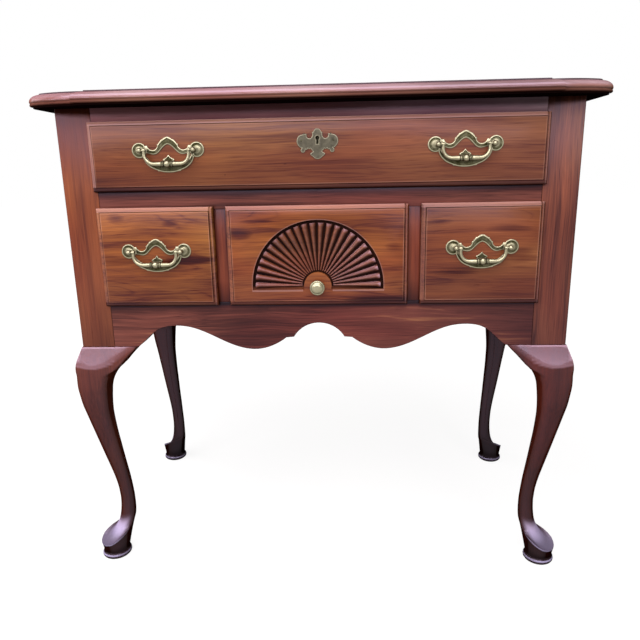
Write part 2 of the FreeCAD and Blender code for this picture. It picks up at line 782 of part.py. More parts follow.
def pull_plate(x, z):
    """An open backplate: two rosettes, a crested upper band, and a crescent with a finial."""
    half = pull_centres / 2
    disc_x = half + rosette_offset
    unit = pull_centres / 100

    def at(px, pz):
        return V(x + px * unit, field, z + pz * unit)

    def both(points):
        return [at(*p) for p in points], [at(-px, pz) for px, pz in reversed(points)]

    def across(points):
        """A run of points to the middle line, and on through its mirror."""
        return [at(*p) for p in points] + [at(-px, pz) for px, pz in reversed(points[:-1])]

    # hundredths of the distance between the posts
    crest = [(44.75, 7.61), (39.24, 9.06), (27.56, 0.79), (19.16, 4.72), (17.85, 11.02)]
    peak = [(17.85, 11.02), (12.99, 16.27), (6.56, 21.52), (0, 24.15)]
    belly = [(18.24, -3.81), (12.34, 2.62), (6.04, 7.35), (0, 9.19)]
    under = [(44.75, -3.94), (33.46, -4.72), (24.93, -6.82), (18.24, -3.81)]
    right_top, left_top = both(crest)
    right_low, left_low = both(under)
    band = [curve(right_top), curve(across(peak)), curve(left_top), line(left_top[-1], left_low[-1]),
            curve(left_low), curve(across(belly)[::-1]), curve(right_low), line(right_low[0], right_top[0])]

    outer = [(49.21, -9.84), (46.98, -15.22), (42.52, -23.10),
             (34.91, -29.92), (20.47, -37.01), (0, -39.76)]
    inner = [(43.96, -5.91), (40.16, -13.12), (34.12, -19.16), (24.41, -24.41), (11.29, -26.25)]
    finial = [(11.29, -26.25), (11.42, -17.59), (5.25, -13.65), (0, -7.87)]
    right_in, left_in = both(inner)
    outline = across(outer)
    neck = across(finial)
    crescent = [curve(outline), line(outline[-1], left_in[-1]), curve(left_in)]
    crescent += [line(p, q) for p, q in zip(neck[::-1], neck[::-1][1:])]
    crescent += [curve(right_in), line(right_in[0], outline[0])]

    forward = -BACK * plate_thickness
    discs = [rod(2 * rosette_radius, V(x + side * disc_x, field, z), -BACK, plate_thickness)
             for side in (-1, 1)]
    plate = joined(slab(band, forward), [slab(crescent, forward)] + discs)
    holes = [rod(bolt_diameter + 2 * bolt_play, V(x + side * half, field + 1, z), -BACK, plate_thickness + 2)
             for side in (-1, 1)]
    return plate.cut(holes)


def pull_posts(x, z):
    """Two ball-headed posts with their bolts through the front, and their nuts."""
    solids = []
    for side in (-1, 1):
        place = V(x + side * pull_centres / 2, 0, z)
        ball_centre = V(place.x, pivot_y, z)
        neck = rod(post_neck, V(place.x, plate_face, z), -BACK, post_reach)
        ball = Part.makeSphere(post_ball / 2, ball_centre)
        reach = front_back + nut_height + 1.5 - plate_face
        bolt = rod(bolt_diameter, V(place.x, plate_face, z), BACK, reach)
        hole = rod(pivot_diameter + 2 * pivot_play, ball_centre, RIGHT * -side, post_ball)
        solids.append(joined(neck, [ball, bolt]).cut(hole))
        nut = block((place.x - nut_size / 2, place.x + nut_size / 2), (front_back, front_back + nut_height),
                    (z - nut_size / 2, z + nut_size / 2))
        solids.append(nut.cut(rod(bolt_diameter + 2 * bolt_play, V(place.x, front_back - 1, z), BACK,
                                  nut_height + 2)))
    return solids


def grip(half):
    """The turned grip of a handle: a bar with a ball between two rings."""
    bar = grip_diameter / 2
    ring = grip_ring / 2
    ball = grip_ball / 2
    ball_half = math.sqrt(ball ** 2 - bar ** 2)
    ring_in = grip_ring_offset - grip_ring_width / 2
    ring_out = grip_ring_offset + grip_ring_width / 2

    def at(px, radius):
        return V(px, 0, radius - bail_drop)

    right = [(ball_half, bar), (ring_in, bar), (ring_in, ring), (ring_out, ring), (ring_out, bar),
             (half, bar), (half, 0)]
    left = [(-px, radius) for px, radius in reversed(right)]
    edges = [line(at(*p), at(*q)) for points in (left, right) for p, q in zip(points, points[1:])]
    edges += [arc(at(-ball_half, bar), at(0, ball), at(ball_half, bar)), line(at(half, 0), at(-half, 0))]
    return Part.Face(Part.Wire(Part.__sortEdges__(edges))).revolve(at(0, 0), RIGHT, 360)


def bail(x, z):
    """A hanging handle: a turned grip between two bent arms, each with a knuckle and a pivot."""
    half = bail_half_width
    grip_half = half - bail_bend
    low = bail_drop - bail_bend
    diagonal = bail_bend * math.sqrt(0.5)
    pieces = []
    for side in (-1, 1):
        top = V(side * half, 0, 0)
        bend_start = V(side * half, 0, -low)
        bend_middle = V(side * (grip_half + diagonal), 0, -low - diagonal)
        bend_end = V(side * grip_half, 0, -bail_drop)
        path = Part.Wire([line(top, bend_start), arc(bend_start, bend_middle, bend_end)])
        section = Part.Face(Part.Wire([Part.Circle(top, UP, bail_arm / 2).toShape()]))
        pieces.append(path.makePipe(section))
        pieces.append(rod(bail_knuckle, V(side * (half - bail_arm / 2), 0, 0), RIGHT * side, bail_arm))
        pieces.append(rod(pivot_diameter, top, RIGHT * side, pull_centres / 2 - half - pivot_end_play))
    return grip(grip_half).fuse(pieces).translated(V(x, pivot_y, z))


# ---------------------------------------------------------------- knob, escutcheon and lock

def bolt_hole(x, z):
    """A hole right through a drawer front for a pull's bolt or the knob's screw."""
    return rod(bolt_diameter + 2 * bolt_play, V(x, field - 1, z), BACK, front_back - field + 2)


def knob(x, z):
    """A turned knob with a flattened head."""
    head = knob_diameter / 2
    under = knob_reach - knob_head
    body = turned([(0, 0), (knob_base / 2, 0), (knob_base / 2, knob_base_height * 0.6),
                   (knob_neck / 2 + 1, knob_base_height), (knob_neck / 2, knob_base_height * 2),
                   (knob_neck / 2, under - 2), (head * 0.7, under), (head * 0.95, under + 1.6),
                   (head, under + 3.2), (head * 0.97, under + 4.8), (head * 0.82, knob_reach - 1.4),
                   (head * 0.5, knob_reach - 0.3), (0, knob_reach)], V(x, field, z), -BACK)
    return body.cut(rod(knob_screw_diameter + 2 * bolt_play, V(x, field + 1, z), -BACK,
                        knob_thread_depth + 1 + bolt_play))


def knob_screw(x, z):
    shank = rod(knob_screw_diameter, V(x, front_back, z), -BACK, front_back - field + knob_thread_depth)
    return joined(shank, [rod(knob_screw_head, V(x, front_back, z), BACK, knob_screw_head_height)])


def keyhole(z, y, length):
    """A round eye over a slot."""
    eye = rod(2 * key_eye, V(lock_offset, y, z + key_eye_height), BACK, length)
    slot = block((lock_offset - key_slot / 2, lock_offset + key_slot / 2), (y, y + length),
                 (z + key_eye_height - key_drop, z + key_eye_height))
    return joined(eye, [slot])


def escutcheon(z):
    """A cut plate with ears, notches and a keyhole."""
    def at(px, pz):
        return V(lock_offset + px, field, z + pz)

    def both(points):
        return [[at(*p) for p in points], [at(-px, pz) for px, pz in points]]

    crest = [(-5.9, 10.8), (-4.4, 14.0), (0.0, 15.8), (4.4, 14.0), (5.9, 10.8)]
    notch = [(7.6, 10.6), (7.6, 6.4), (10.0, 2.4), (13.5, 1.8), (15.9, 4.6), (15.6, 8.4)]
    ear = [(19.6, 9.2), (23.5, 6.0), (28.2, 3.6), (29.0, -1.2), (27.2, -6.4), (23.4, -10.4)]
    lobe = [(24.0, -12.2), (20.3, -16.0), (17.0, -12.6)]
    waist = [(17.0, -12.6), (14.4, -10.6), (9.0, -12.4), (6.2, -15.2)]
    tail = [(10.0, -18.2), (7.9, -21.8), (3.6, -24.4), (0.0, -25.2)]
    edges = [curve([at(*p) for p in crest])]
    for points in both(notch) + both(ear) + both(waist) + both(tail):
        edges.append(curve(points))
    for points in both(lobe):
        edges.append(arc(*points))
    for pair in ((crest[-1], notch[0]), (notch[-1], ear[0]), (ear[-1], lobe[0]), (waist[-1], tail[0])):
        for points in both(pair):
            edges.append(line(*points))
    plate = slab(edges, -BACK * escutcheon_thickness)
    holes = [keyhole(z, field - escutcheon_thickness - 1, escutcheon_thickness + 2)]
    holes += [pin_shank(side, z, bolt_play) for side in (-1, 1)]
    return plate.cut(holes)


def pin_shank(side, z, gap):
    start = V(lock_offset + side * pin_offset, field - escutcheon_thickness - gap, z)
    return rod(pin_diameter + 2 * gap, start, BACK, pin_length + 2 * gap)


def escutcheon_pin(side, z):
    """A small pin with a domed head."""
    face = V(lock_offset + side * pin_offset, field - escutcheon_thickness, z)
    dome = Part.makeSphere(pin_head / 2, face).common(
        rod(pin_head + 1, face, -BACK, pin_head * 0.3))
    return joined(dome, [pin_shank(side, z, 0)])


lock_top = top_open[1] - front_play
bolt_rest = (lock_top - lock_play - bolt_height, lock_top - lock_play)


def lock_case():
    """A box lock on the inside of the long drawer's front, open at its top for the bolt."""
    body = block((lock_offset - lock_width / 2, lock_offset + lock_width / 2),
                 (front_back, front_back + lock_depth), (lock_top - lock_height, lock_top))
    half = bolt_width / 2 + lock_play
    pocket = block((lock_offset - half, lock_offset + half), (lock_y[0] - lock_play, lock_y[1] + lock_play),
                   (bolt_rest[0] - lock_play, lock_top + 1))
    key_z = (top_open[0] + top_open[1]) / 2 + escutcheon_height
    return body.cut([pocket, keyhole(key_z, front_back - 1, lock_depth - lock_wall + 1)])


def lock_bolt():
    return block((lock_offset - bolt_width / 2, lock_offset + bolt_width / 2), lock_y, bolt_rest)


# ---------------------------------------------------------------- the whole piece

def drill(name, cutters):
    parts[name] = parts[name].cut(cutters)


def build_case():
    screws = [top_screw(x, y, 0) for x, y in screw_places()]
    bores = [top_screw(x, y, screw_play) for x, y in screw_places()]
    parts["top_board"] = top_board().cut(bores)
    for end, post, foot in (("front", front_post(), leg()), ("rear", rear_post(), mirror_y(leg()))):
        parts["post_" + end + "_right"] = post
        parts["post_" + end + "_left"] = mirror_x(post)
        parts["leg_" + end + "_right"] = foot
        parts["leg_" + end + "_left"] = mirror_x(foot)
    parts["knee_blocks_front"] = group([knee_block(), mirror_x(knee_block())])
    brackets = [side_knee_block(), mirror_y(side_knee_block())]
    parts["knee_blocks_right"] = group(brackets)
    parts["knee_blocks_left"] = group([mirror_x(bracket) for bracket in brackets])
    parts["top_rail"] = top_rail().cut(bores)
    parts["middle_rail"] = middle_rail()
    parts["front_apron"] = front_apron()
    parts["divider_right"] = divider()
    parts["divider_left"] = mirror_x(divider())
    parts["side_panel_right"] = side_panel()
    parts["side_panel_left"] = mirror_x(side_panel())
    parts["back_panel"] = back_panel()
    parts["upper_runners"] = group([upper_runner(), mirror_x(upper_runner())])
    runners = [lower_runner(), middle_runner()]
    parts["lower_runners"] = group(runners + [mirror_x(runner) for runner in runners])
    parts["drawer_guides"] = group([drawer_guide(), mirror_x(drawer_guide())])
    parts["rear_cross_rails"] = group([cross_rail(top_open[0]), cross_rail(low_open[0])])
    cleats = [top_cleat(), mirror_x(top_cleat())]
    parts["top_cleats"] = group([cleat.cut(bores) for cleat in cleats])
    parts["top_screws"] = group(screws)
    braces = [corner_brace(half_inner, front + apron_thickness, 1), corner_brace(half_inner, back_inner, -1)]
    parts["corner_blocks"] = group(braces + [mirror_x(brace) for brace in braces])


def build_drawers():
    top_z = (top_open[0] + top_open[1]) / 2
    low_z = (low_open[0] + low_open[1]) / 2
    short_x = (short_open_x[0] + short_open_x[1]) / 2
    left_open_x = (-short_open_x[1], -short_open_x[0])
    drawer("top", (-half_inner, half_inner), top_open)
    drawer("left", left_open_x, low_open)
    drawer("centre", (-half_centre, half_centre), low_open, fan)
    drawer("right", short_open_x, low_open)

    pulls = (("top_left", "top", -top_pull_offset, top_z + top_pull_height),
             ("top_right", "top", top_pull_offset, top_z + top_pull_height),
             ("left", "left", -short_x, low_z + pull_height),
             ("right", "right", short_x, low_z + pull_height))
    posts = {"top": [], "left": [], "right": []}
    for name, owner, x, z in pulls:
        parts["pull_plate_" + name] = pull_plate(x, z)
        parts["bail_" + name] = bail(x, z)
        posts[owner] += pull_posts(x, z)
        drill(owner + "_drawer_front", [bolt_hole(x + side * pull_centres / 2, z) for side in (-1, 1)])
    for owner, solids in posts.items():
        parts["pull_posts_" + owner] = group(solids)

    knob_z = low_open[0] - lip_overlap + fan_height
    parts["knob"] = knob(0, knob_z)
    parts["knob_screw"] = knob_screw(0, knob_z)
    drill("centre_drawer_front", [bolt_hole(0, knob_z)])

    plate_z = top_z + escutcheon_height
    parts["escutcheon"] = escutcheon(plate_z)
    parts["escutcheon_pins"] = group([escutcheon_pin(side, plate_z) for side in (-1, 1)])
    parts["lock_case"] = lock_case()
    parts["lock_bolt"] = lock_bolt()
    drill("top_drawer_front", [keyhole(plate_z, field - 1, front_back - field + 1)]
          + [pin_shank(side, plate_z, screw_play) for side in (-1, 1)])


def write_all():
    os.makedirs("parts", exist_ok=True)
    for name, shape in parts.items():
        if not shape.isValid():
            print("not valid:", name)
        shape.exportStep("parts/" + name + ".step")
        print(name, len(shape.Solids), round(shape.Volume))


build_case()
build_drawers()
write_all()
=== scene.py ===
"""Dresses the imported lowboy: moulded top, cabriole legs, lipped drawers, carved fan, brass pulls."""
import json
import math
from functools import partial

import bmesh
import bpy
from mathutils import Matrix, Vector


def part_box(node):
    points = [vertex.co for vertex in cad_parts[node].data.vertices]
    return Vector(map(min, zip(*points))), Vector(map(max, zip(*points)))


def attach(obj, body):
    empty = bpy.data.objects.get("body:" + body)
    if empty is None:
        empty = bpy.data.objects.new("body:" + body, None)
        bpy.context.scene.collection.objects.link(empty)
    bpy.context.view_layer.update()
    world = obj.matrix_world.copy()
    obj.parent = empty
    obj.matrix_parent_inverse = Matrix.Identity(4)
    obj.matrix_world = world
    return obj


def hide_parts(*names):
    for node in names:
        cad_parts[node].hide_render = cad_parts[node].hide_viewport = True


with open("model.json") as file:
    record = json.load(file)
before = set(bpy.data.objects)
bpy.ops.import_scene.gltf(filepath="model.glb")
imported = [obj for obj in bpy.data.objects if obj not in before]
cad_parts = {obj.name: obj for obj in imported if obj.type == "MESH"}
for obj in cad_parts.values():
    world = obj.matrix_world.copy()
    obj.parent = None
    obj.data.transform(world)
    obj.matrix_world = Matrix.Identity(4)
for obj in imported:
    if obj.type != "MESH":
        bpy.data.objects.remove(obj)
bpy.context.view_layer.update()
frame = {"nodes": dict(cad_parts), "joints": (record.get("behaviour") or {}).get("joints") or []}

bl_info = {
    "name": "Lowboy",
    "version": (1, 0, 0),
    "blender": (4, 5, 0),
    "location": "View3D > Sidebar > Lowboy",
    "description": "Builds the visible pieces of a lowboy on cabriole legs",
    "category": "Add Mesh",
}

MM = 0.001
DRAWERS = ("top", "left", "centre", "right")
# the CAD's recess for the fan: its radius, its hub's, and how far its flat foot lies below its centre
FAN_RADIUS, FAN_HUB, FAN_FOOT = 96.7, 20.2, 5.2


# ---------------------------------------------------------------- colours

def linear(code, alpha=1.0):
    """A hex sRGB colour as linear values."""
    values = []
    for index in (1, 3, 5):
        c = int(code[index:index + 2], 16) / 255
        values.append(c / 12.92 if c <= 0.04045 else ((c + 0.055) / 1.055) ** 2.4)
    return (*values, alpha)


def colour(name, description, code):
    """A colour property, given as a hex code."""
    return bpy.props.FloatVectorProperty(name=name, description=description, subtype="COLOR", size=4,
                                         min=0.0, max=1.0, default=linear(code))


def length(name, description, default):
    """A length property, given in millimetres and kept in metres."""
    return bpy.props.FloatProperty(name=name, description=description, default=default * MM,
                                   unit="LENGTH", precision=4, step=0.01)


# ---------------------------------------------------------------- sizes and finishes

class LowboySizes(bpy.types.PropertyGroup):
    """Sizes of the visible pieces."""
    seam: length("Seam", "Easing of each edge where two boards meet", 0.85)
    thumb_width: length("Thumb width", "Width of the top's thumb moulding", 14.0)
    thumb_drop: length("Thumb drop", "Height of the top's thumb moulding", 10.0)
    top_quirk: length("Top quirk", "Step down at the inner side of the thumb moulding", 2.0)
    bead_width: length("Bead width", "Depth of the bead under the thumb moulding", 3.0)
    bead_drop: length("Bead drop", "Height of the bead under the thumb moulding", 6.0)
    lip_round: length("Lip moulding", "Width of the ovolo round each drawer front", 5.6)
    field_round: length("Field edge", "Rounding of the raised field's edge", 0.5)
    fan_radius: length("Fan radius", "From the fan's centre to its outer wall", FAN_RADIUS)
    fan_channel: length("Fan channel", "Plain channel outside the ribs", 4.5)
    fan_hub: length("Fan hub", "Radius of the plain hub", FAN_HUB)
    fan_hub_channel: length("Hub channel", "Plain channel round the hub", 3.0)
    fan_depth: length("Fan depth", "Depth of the carving", 6.0)
    fan_foot: length("Fan foot", "From the fan's centre down to its flat edge", FAN_FOOT)
    fan_ribs: bpy.props.IntProperty(name="Fan ribs", description="Number of carved ribs", default=24, min=3)
    plate_recess: length("Plate recess", "Depth of the sunk middle of a pull's plate", 0.6)
    arm: length("Handle arm", "Thickness of a handle's arms", 4.6)
    grip: length("Handle grip", "Thickness of a handle's grip", 6.8)
    ball: length("Handle ball", "Diameter of the ball on a grip", 10.2)


# each wood's name, the pieces it is on, its light figure and its dark figure
WOODS = {
    # the top's pale mauve is in part a painted reflection of a lavender sky
    "top": ("Top", "the top board and the top rail", "#b4999c", "#907476"),
    "case": ("Case", "the rails, sides and apron", "#7c473a", "#4c2820"),
    "post": ("Post", "the left posts and the dividers", "#9a5a3a", "#673726"),
    "leg": ("Leg", "the legs", "#744030", "#442219"),
    "fan": ("Fan", "the carved fan", "#8e5638", "#503024"),
    "long": ("Long drawer", "the long drawer", "#a36c45", "#70422f"),
    "short": ("Left drawer", "the left drawer", "#ab723d", "#633524"),
    "middle": ("Middle drawer", "the middle and right drawers", "#9e6338", "#5e3022"),
    "right": ("Right post", "the right posts", "#965e44", "#5a372c"),
    "inner": ("Inside wood", "the unfinished inside wood", "#c8a47a", "#8c6a48"),
}


class LowboyFinishes(bpy.types.PropertyGroup):
    """Colours of the finishes."""
    __annotations__ = {
        key + "_" + tone: colour(name + ", " + tone, tone.capitalize() + " figure of " + pieces, code)
        for key, (name, pieces, *codes) in WOODS.items() for tone, code in zip(("light", "dark"), codes)}
    brass_bright: colour("Brass, bright", "Worn brass on raised edges", "#a49d82")
    brass_dull: colour("Brass, dull", "Darkened brass in recesses", "#2f2d18")
    plate_bright: colour("Keyhole plate, bright", "Worn sheet brass", "#756f5e")
    plate_dull: colour("Keyhole plate, dull", "Darkened sheet brass", "#2c2923")
    steel: colour("Steel", "Screws", "#8a8780")
    floor: colour("Floor", "Floor cloth", "#74726f")


def keys_of(group):
    """The names of a group's own properties."""
    return [key for key in group.bl_rna.properties.keys() if key not in ("rna_type", "name")]


# ---------------------------------------------------------------- meshes

def linked(name, data):
    """A new object in the scene."""
    obj = bpy.data.objects.new(name, data)
    bpy.context.scene.collection.objects.link(obj)
    return obj


def finished(name, bm, crease):
    """A mesh as an object, smooth but for the edges where it turns by more than crease degrees."""
    for face in bm.faces:
        face.smooth = True
    for edge in bm.edges:
        edge.smooth = edge.is_manifold and edge.calc_face_angle(0.0) < math.radians(crease)
    mesh = bpy.data.meshes.new(name)
    bm.to_mesh(mesh)
    bm.free()
    return linked(name, mesh)


def turns(steps):
    """The angles of so many points round a circle."""
    return [2 * math.pi * k / steps for k in range(steps)]


class Shape:
    """Points and faces of one piece, in millimetres. Each point has a value from 1 to -1: towards 1 painted
    shade in recesses, dark joints and, on brass, tarnish; towards -1 a painted highlight and, on brass, wear."""

    def __init__(self):
        self.points, self.faces, self.hollow = [], [], []

    def ring(self, points, hollow):
        """Adds points, with one value of shade, tarnish and sheen for all or one for each, and gives their
        numbers.
        """
        start = len(self.points)
        self.points += [Vector(p) for p in points]
        self.hollow += [hollow] * len(points) if isinstance(hollow, (int, float)) else list(hollow)
        return list(range(start, start + len(points)))

    def skin(self, rings):
        """Quads between closed rings of as many points."""
        for a, b in zip(rings, rings[1:]):
            for i in range(len(a)):
                j = (i + 1) % len(a)
                self.faces.append((a[i], a[j], b[j], b[i]))

    def loft(self, rings):
        """A skin over rings of (points, shade, tarnish and sheen), closed at both ends."""
        made = [self.ring(points, hollow) for points, hollow in rings]
        self.skin(made)
        self.faces += [tuple(made[0][::-1]), tuple(made[-1])]

    def fill(self, *outlines):
        """A flat face inside the first outline and round the others, as triangles."""
        bm = bmesh.new()
        index, edges = {}, []
        for ring in outlines:
            verts = [bm.verts.new(self.points[i]) for i in ring]
            index.update(zip(verts, ring))
            edges += [bm.edges.new((verts[k - 1], verts[k])) for k in range(len(verts))]
        made = bmesh.ops.triangle_fill(bm, edges=edges, use_beauty=True, normal=(0, -1, 0))
        self.faces += [tuple(index[v] for v in face.verts) for face in made["geom"]
                       if isinstance(face, bmesh.types.BMFace)]
        bm.free()

    def lathe(self, profile, centre, axis, steps):
        """A turned form; the profile is (radius, height) or (radius, height, shade, tarnish and sheen)."""
        axis = Vector(axis).normalized()
        side = axis.orthogonal().normalized()
        other = axis.cross(side)
        self.loft([([Vector(centre) + axis * height
                     + (side * math.cos(a) + other * math.sin(a)) * max(radius, 0.01) for a in turns(steps)],
                    sum(hollow)) for radius, height, *hollow in profile])

    def tube(self, path, radii, shade_tarnish_sheens, steps):
        """A bar of changing thickness along a path in an upright plane."""
        normal = Vector((0, 1, 0))
        rings = []
        for k, (point, radius, hollow) in enumerate(zip(path, radii, shade_tarnish_sheens)):
            along = (Vector(path[min(k + 1, len(path) - 1)]) - Vector(path[max(k - 1, 0)])).normalized()
            side = along.cross(normal).normalized()
            rings.append(([Vector(point) + (side * math.cos(a) + normal * math.sin(a)) * radius
                           for a in turns(steps)], hollow))
        self.loft(rings)

    def piece(self, name, crease, under=0.0):
        """The shape as an object, with so much darker tarnish on its undersides, which also paints their shade.
        """
        bm = bmesh.new()
        layer = bm.verts.layers.float.new("hollow")
        made = []
        for point, hollow in zip(self.points, self.hollow):
            made.append(bm.verts.new(point * MM))
            made[-1][layer] = hollow
        for face in self.faces:
            if len(set(face)) > 2:
                try:
                    bm.faces.new([made[i] for i in face])
                except ValueError:
                    pass
        bmesh.ops.remove_doubles(bm, verts=bm.verts[:], dist=0.002 * MM)
        bmesh.ops.recalc_face_normals(bm, faces=bm.faces[:])
        if under:
            # tarnish stays on the undersides, where no hand or cloth reaches; this darkening is also painted
            # shade
            bm.normal_update()
            for v in bm.verts:
                v[layer] = min(1.0, v[layer] + under * max(0.0, 0.15 - v.normal.z + 0.4 * v.normal.y))
        return finished(name, bm, crease)


def mixed(a, b, t):
    """A place or a colour part of the way from one to another."""
    return tuple(x + (y - x) * t for x, y in zip(a, b))


def through(points, steps):
    """A smooth run of points through the given ones, in any number of dimensions."""
    result = []
    for k, (a, b) in enumerate(zip(points, points[1:])):
        before = points[k - 1] if k else [2 * x - y for x, y in zip(a, b)]
        after = points[k + 2] if k + 2 < len(points) else [2 * y - x for x, y in zip(a, b)]
        for i in range(steps):
            t = i / steps
            result.append(tuple(
                0.5 * (2 * q + (r - p) * t + (2 * p - 5 * q + 4 * r - s) * t * t
                       + (3 * q - p - 3 * r + s) * t ** 3)
                for p, q, r, s in zip(before, a, b, after)))
    return result + [tuple(points[-1])]


def table(rows, x, column=1):
    """Straight-line value between the rows of a table in rising order."""
    if x <= rows[0][0]:
        return rows[0][column]
    for a, b in zip(rows, rows[1:]):
        if x <= b[0]:
            t = (x - a[0]) / (b[0] - a[0])
            return a[column] + (b[column] - a[column]) * t
    return rows[-1][column]


def ease(t):
    """A smooth rise from 0 to 1."""
    t = min(max(t, 0.0), 1.0)
    return t * t * (3 - 2 * t)


def shown(obj, body, nodes, finish):
    """Puts a finished piece on its body, in place of its CAD nodes."""
    obj.data.materials.append(finish)
    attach(obj, body)
    if nodes:
        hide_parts(*nodes)


def coat(finish, *nodes):
    """Gives CAD nodes a finish."""
    for node in nodes:
        obj = frame["nodes"][node]
        if not obj.data.materials:
            obj.data.materials.append(finish)
        for place in obj.material_slots:
            place.material = finish


def copy_of(node):
    """A merged copy of a CAD node's mesh, as an open bmesh in metres."""
    bm = bmesh.new()
    bm.from_mesh(frame["nodes"][node].data)
    bmesh.ops.remove_doubles(bm, verts=bm.verts[:], dist=0.00001)
    return bm


def span(node):
    """The lowest and highest corner of a node, in millimetres."""
    return tuple([v / MM for v in corner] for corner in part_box(node))


def middle_of(node):
    """The middle of a node's box, in millimetres."""
    return tuple((a + b) / 2 for a, b in zip(*span(node)))


# ---------------------------------------------------------------- places, from the CAD

(HALF_INNER, FRONT, CASE_BOTTOM), (HALF_WIDTH, _, CASE_TOP) = span("post_front_right")
MIDDLE_Y = (FRONT + span("post_rear_right")[1][1]) / 2
(_, NOSE_FRONT, _), (NOSE_X, NOSE_BACK, TOP_FACE) = span("top_board")
(_, FIELD, _), (_, FRONT_BACK, _) = span("top_drawer_front")
LIP_BACK = FRONT - 0.3
LIP_FRONT = LIP_BACK - 4.0
OVOLO_FRONT = FIELD + 1.0
FAN_Z = middle_of("knob")[2]


# ---------------------------------------------------------------- materials

BLACK = (0, 0, 0, 1)
RAMP = "ShaderNodeValToRGB"
# how a pattern turns so that its X runs along the grain
GRAIN = {"X": (0, 0, 0), "Y": (0, 0, math.pi / 2), "Z": (0, math.pi / 2, 0)}


def shade(value):
    """A hex code or a grey level as linear values."""
    if isinstance(value, str):
        return linear(value)
    return value if isinstance(value, tuple) else (value, value, value, 1.0)


def add(tree, kind, *inputs, out=None, stops=(), **more):
    """Adds one node with its settings and links, and gives its first output, or the one that out names. The
    inputs fill its open sockets in order, a name with a capital fills the socket of that name, and any other
    name is a setting. A word in capitals in place of a kind is a sum on numbers, and one in lower case a blend
    of colours. The stops are a ramp's, as (place, colour)."""
    if not kind.startswith(("Shader", "Geometry", "NodeGroup")):
        numbers = kind.isupper()
        more.update({"operation": kind} if numbers else {"data_type": "RGBA", "blend_type": kind.upper()})
        kind = "ShaderNodeMath" if numbers else "ShaderNodeMix"
    node = tree.nodes.new(kind)
    for key, value in more.items():
        if key[0].islower():
            setattr(node, key, value)
    named = [(node.inputs[key.replace("_", " ")], value) for key, value in more.items() if key[0].isupper()]
    for socket, value in [*zip((s for s in node.inputs if s.enabled), inputs), *named]:
        if isinstance(value, bpy.types.NodeSocket):
            tree.links.new(value, socket)
        else:
            socket.default_value = shade(value) if socket.type == "RGBA" else value
    for k, (place, value) in enumerate(stops):
        elements = node.color_ramp.elements
        element = elements[k] if k < len(elements) else elements.new(place)
        element.position, element.color = place, shade(value)
    return node.outputs[out] if out else next((s for s in node.outputs if s.enabled), node)


def fresh(name):
    """A new empty material, and what adds nodes to it."""
    material = bpy.data.materials.new(name)
    material.use_nodes = True
    material.node_tree.nodes.clear()
    return material, partial(add, material.node_tree)


def streaks(n, vector, along, across, detail=1.0, rough=0.5, out="Fac"):
    """Noise drawn out along the grain, its size given in millimetres."""
    sized = n("ShaderNodeMapping", vector, Scale=(1 / along, 1 / across, 1 / across))
    return n("ShaderNodeTexNoise", sized, Scale=1.0, Detail=detail, Roughness=rough, out=out)


def weighed(n, onto, *noises):
    """Adds noises, each with its weight and centred on nothing."""
    for noise, weight in noises:
        onto = n("MULTIPLY_ADD", n("SUBTRACT", noise, 0.5), weight, onto)
    return onto


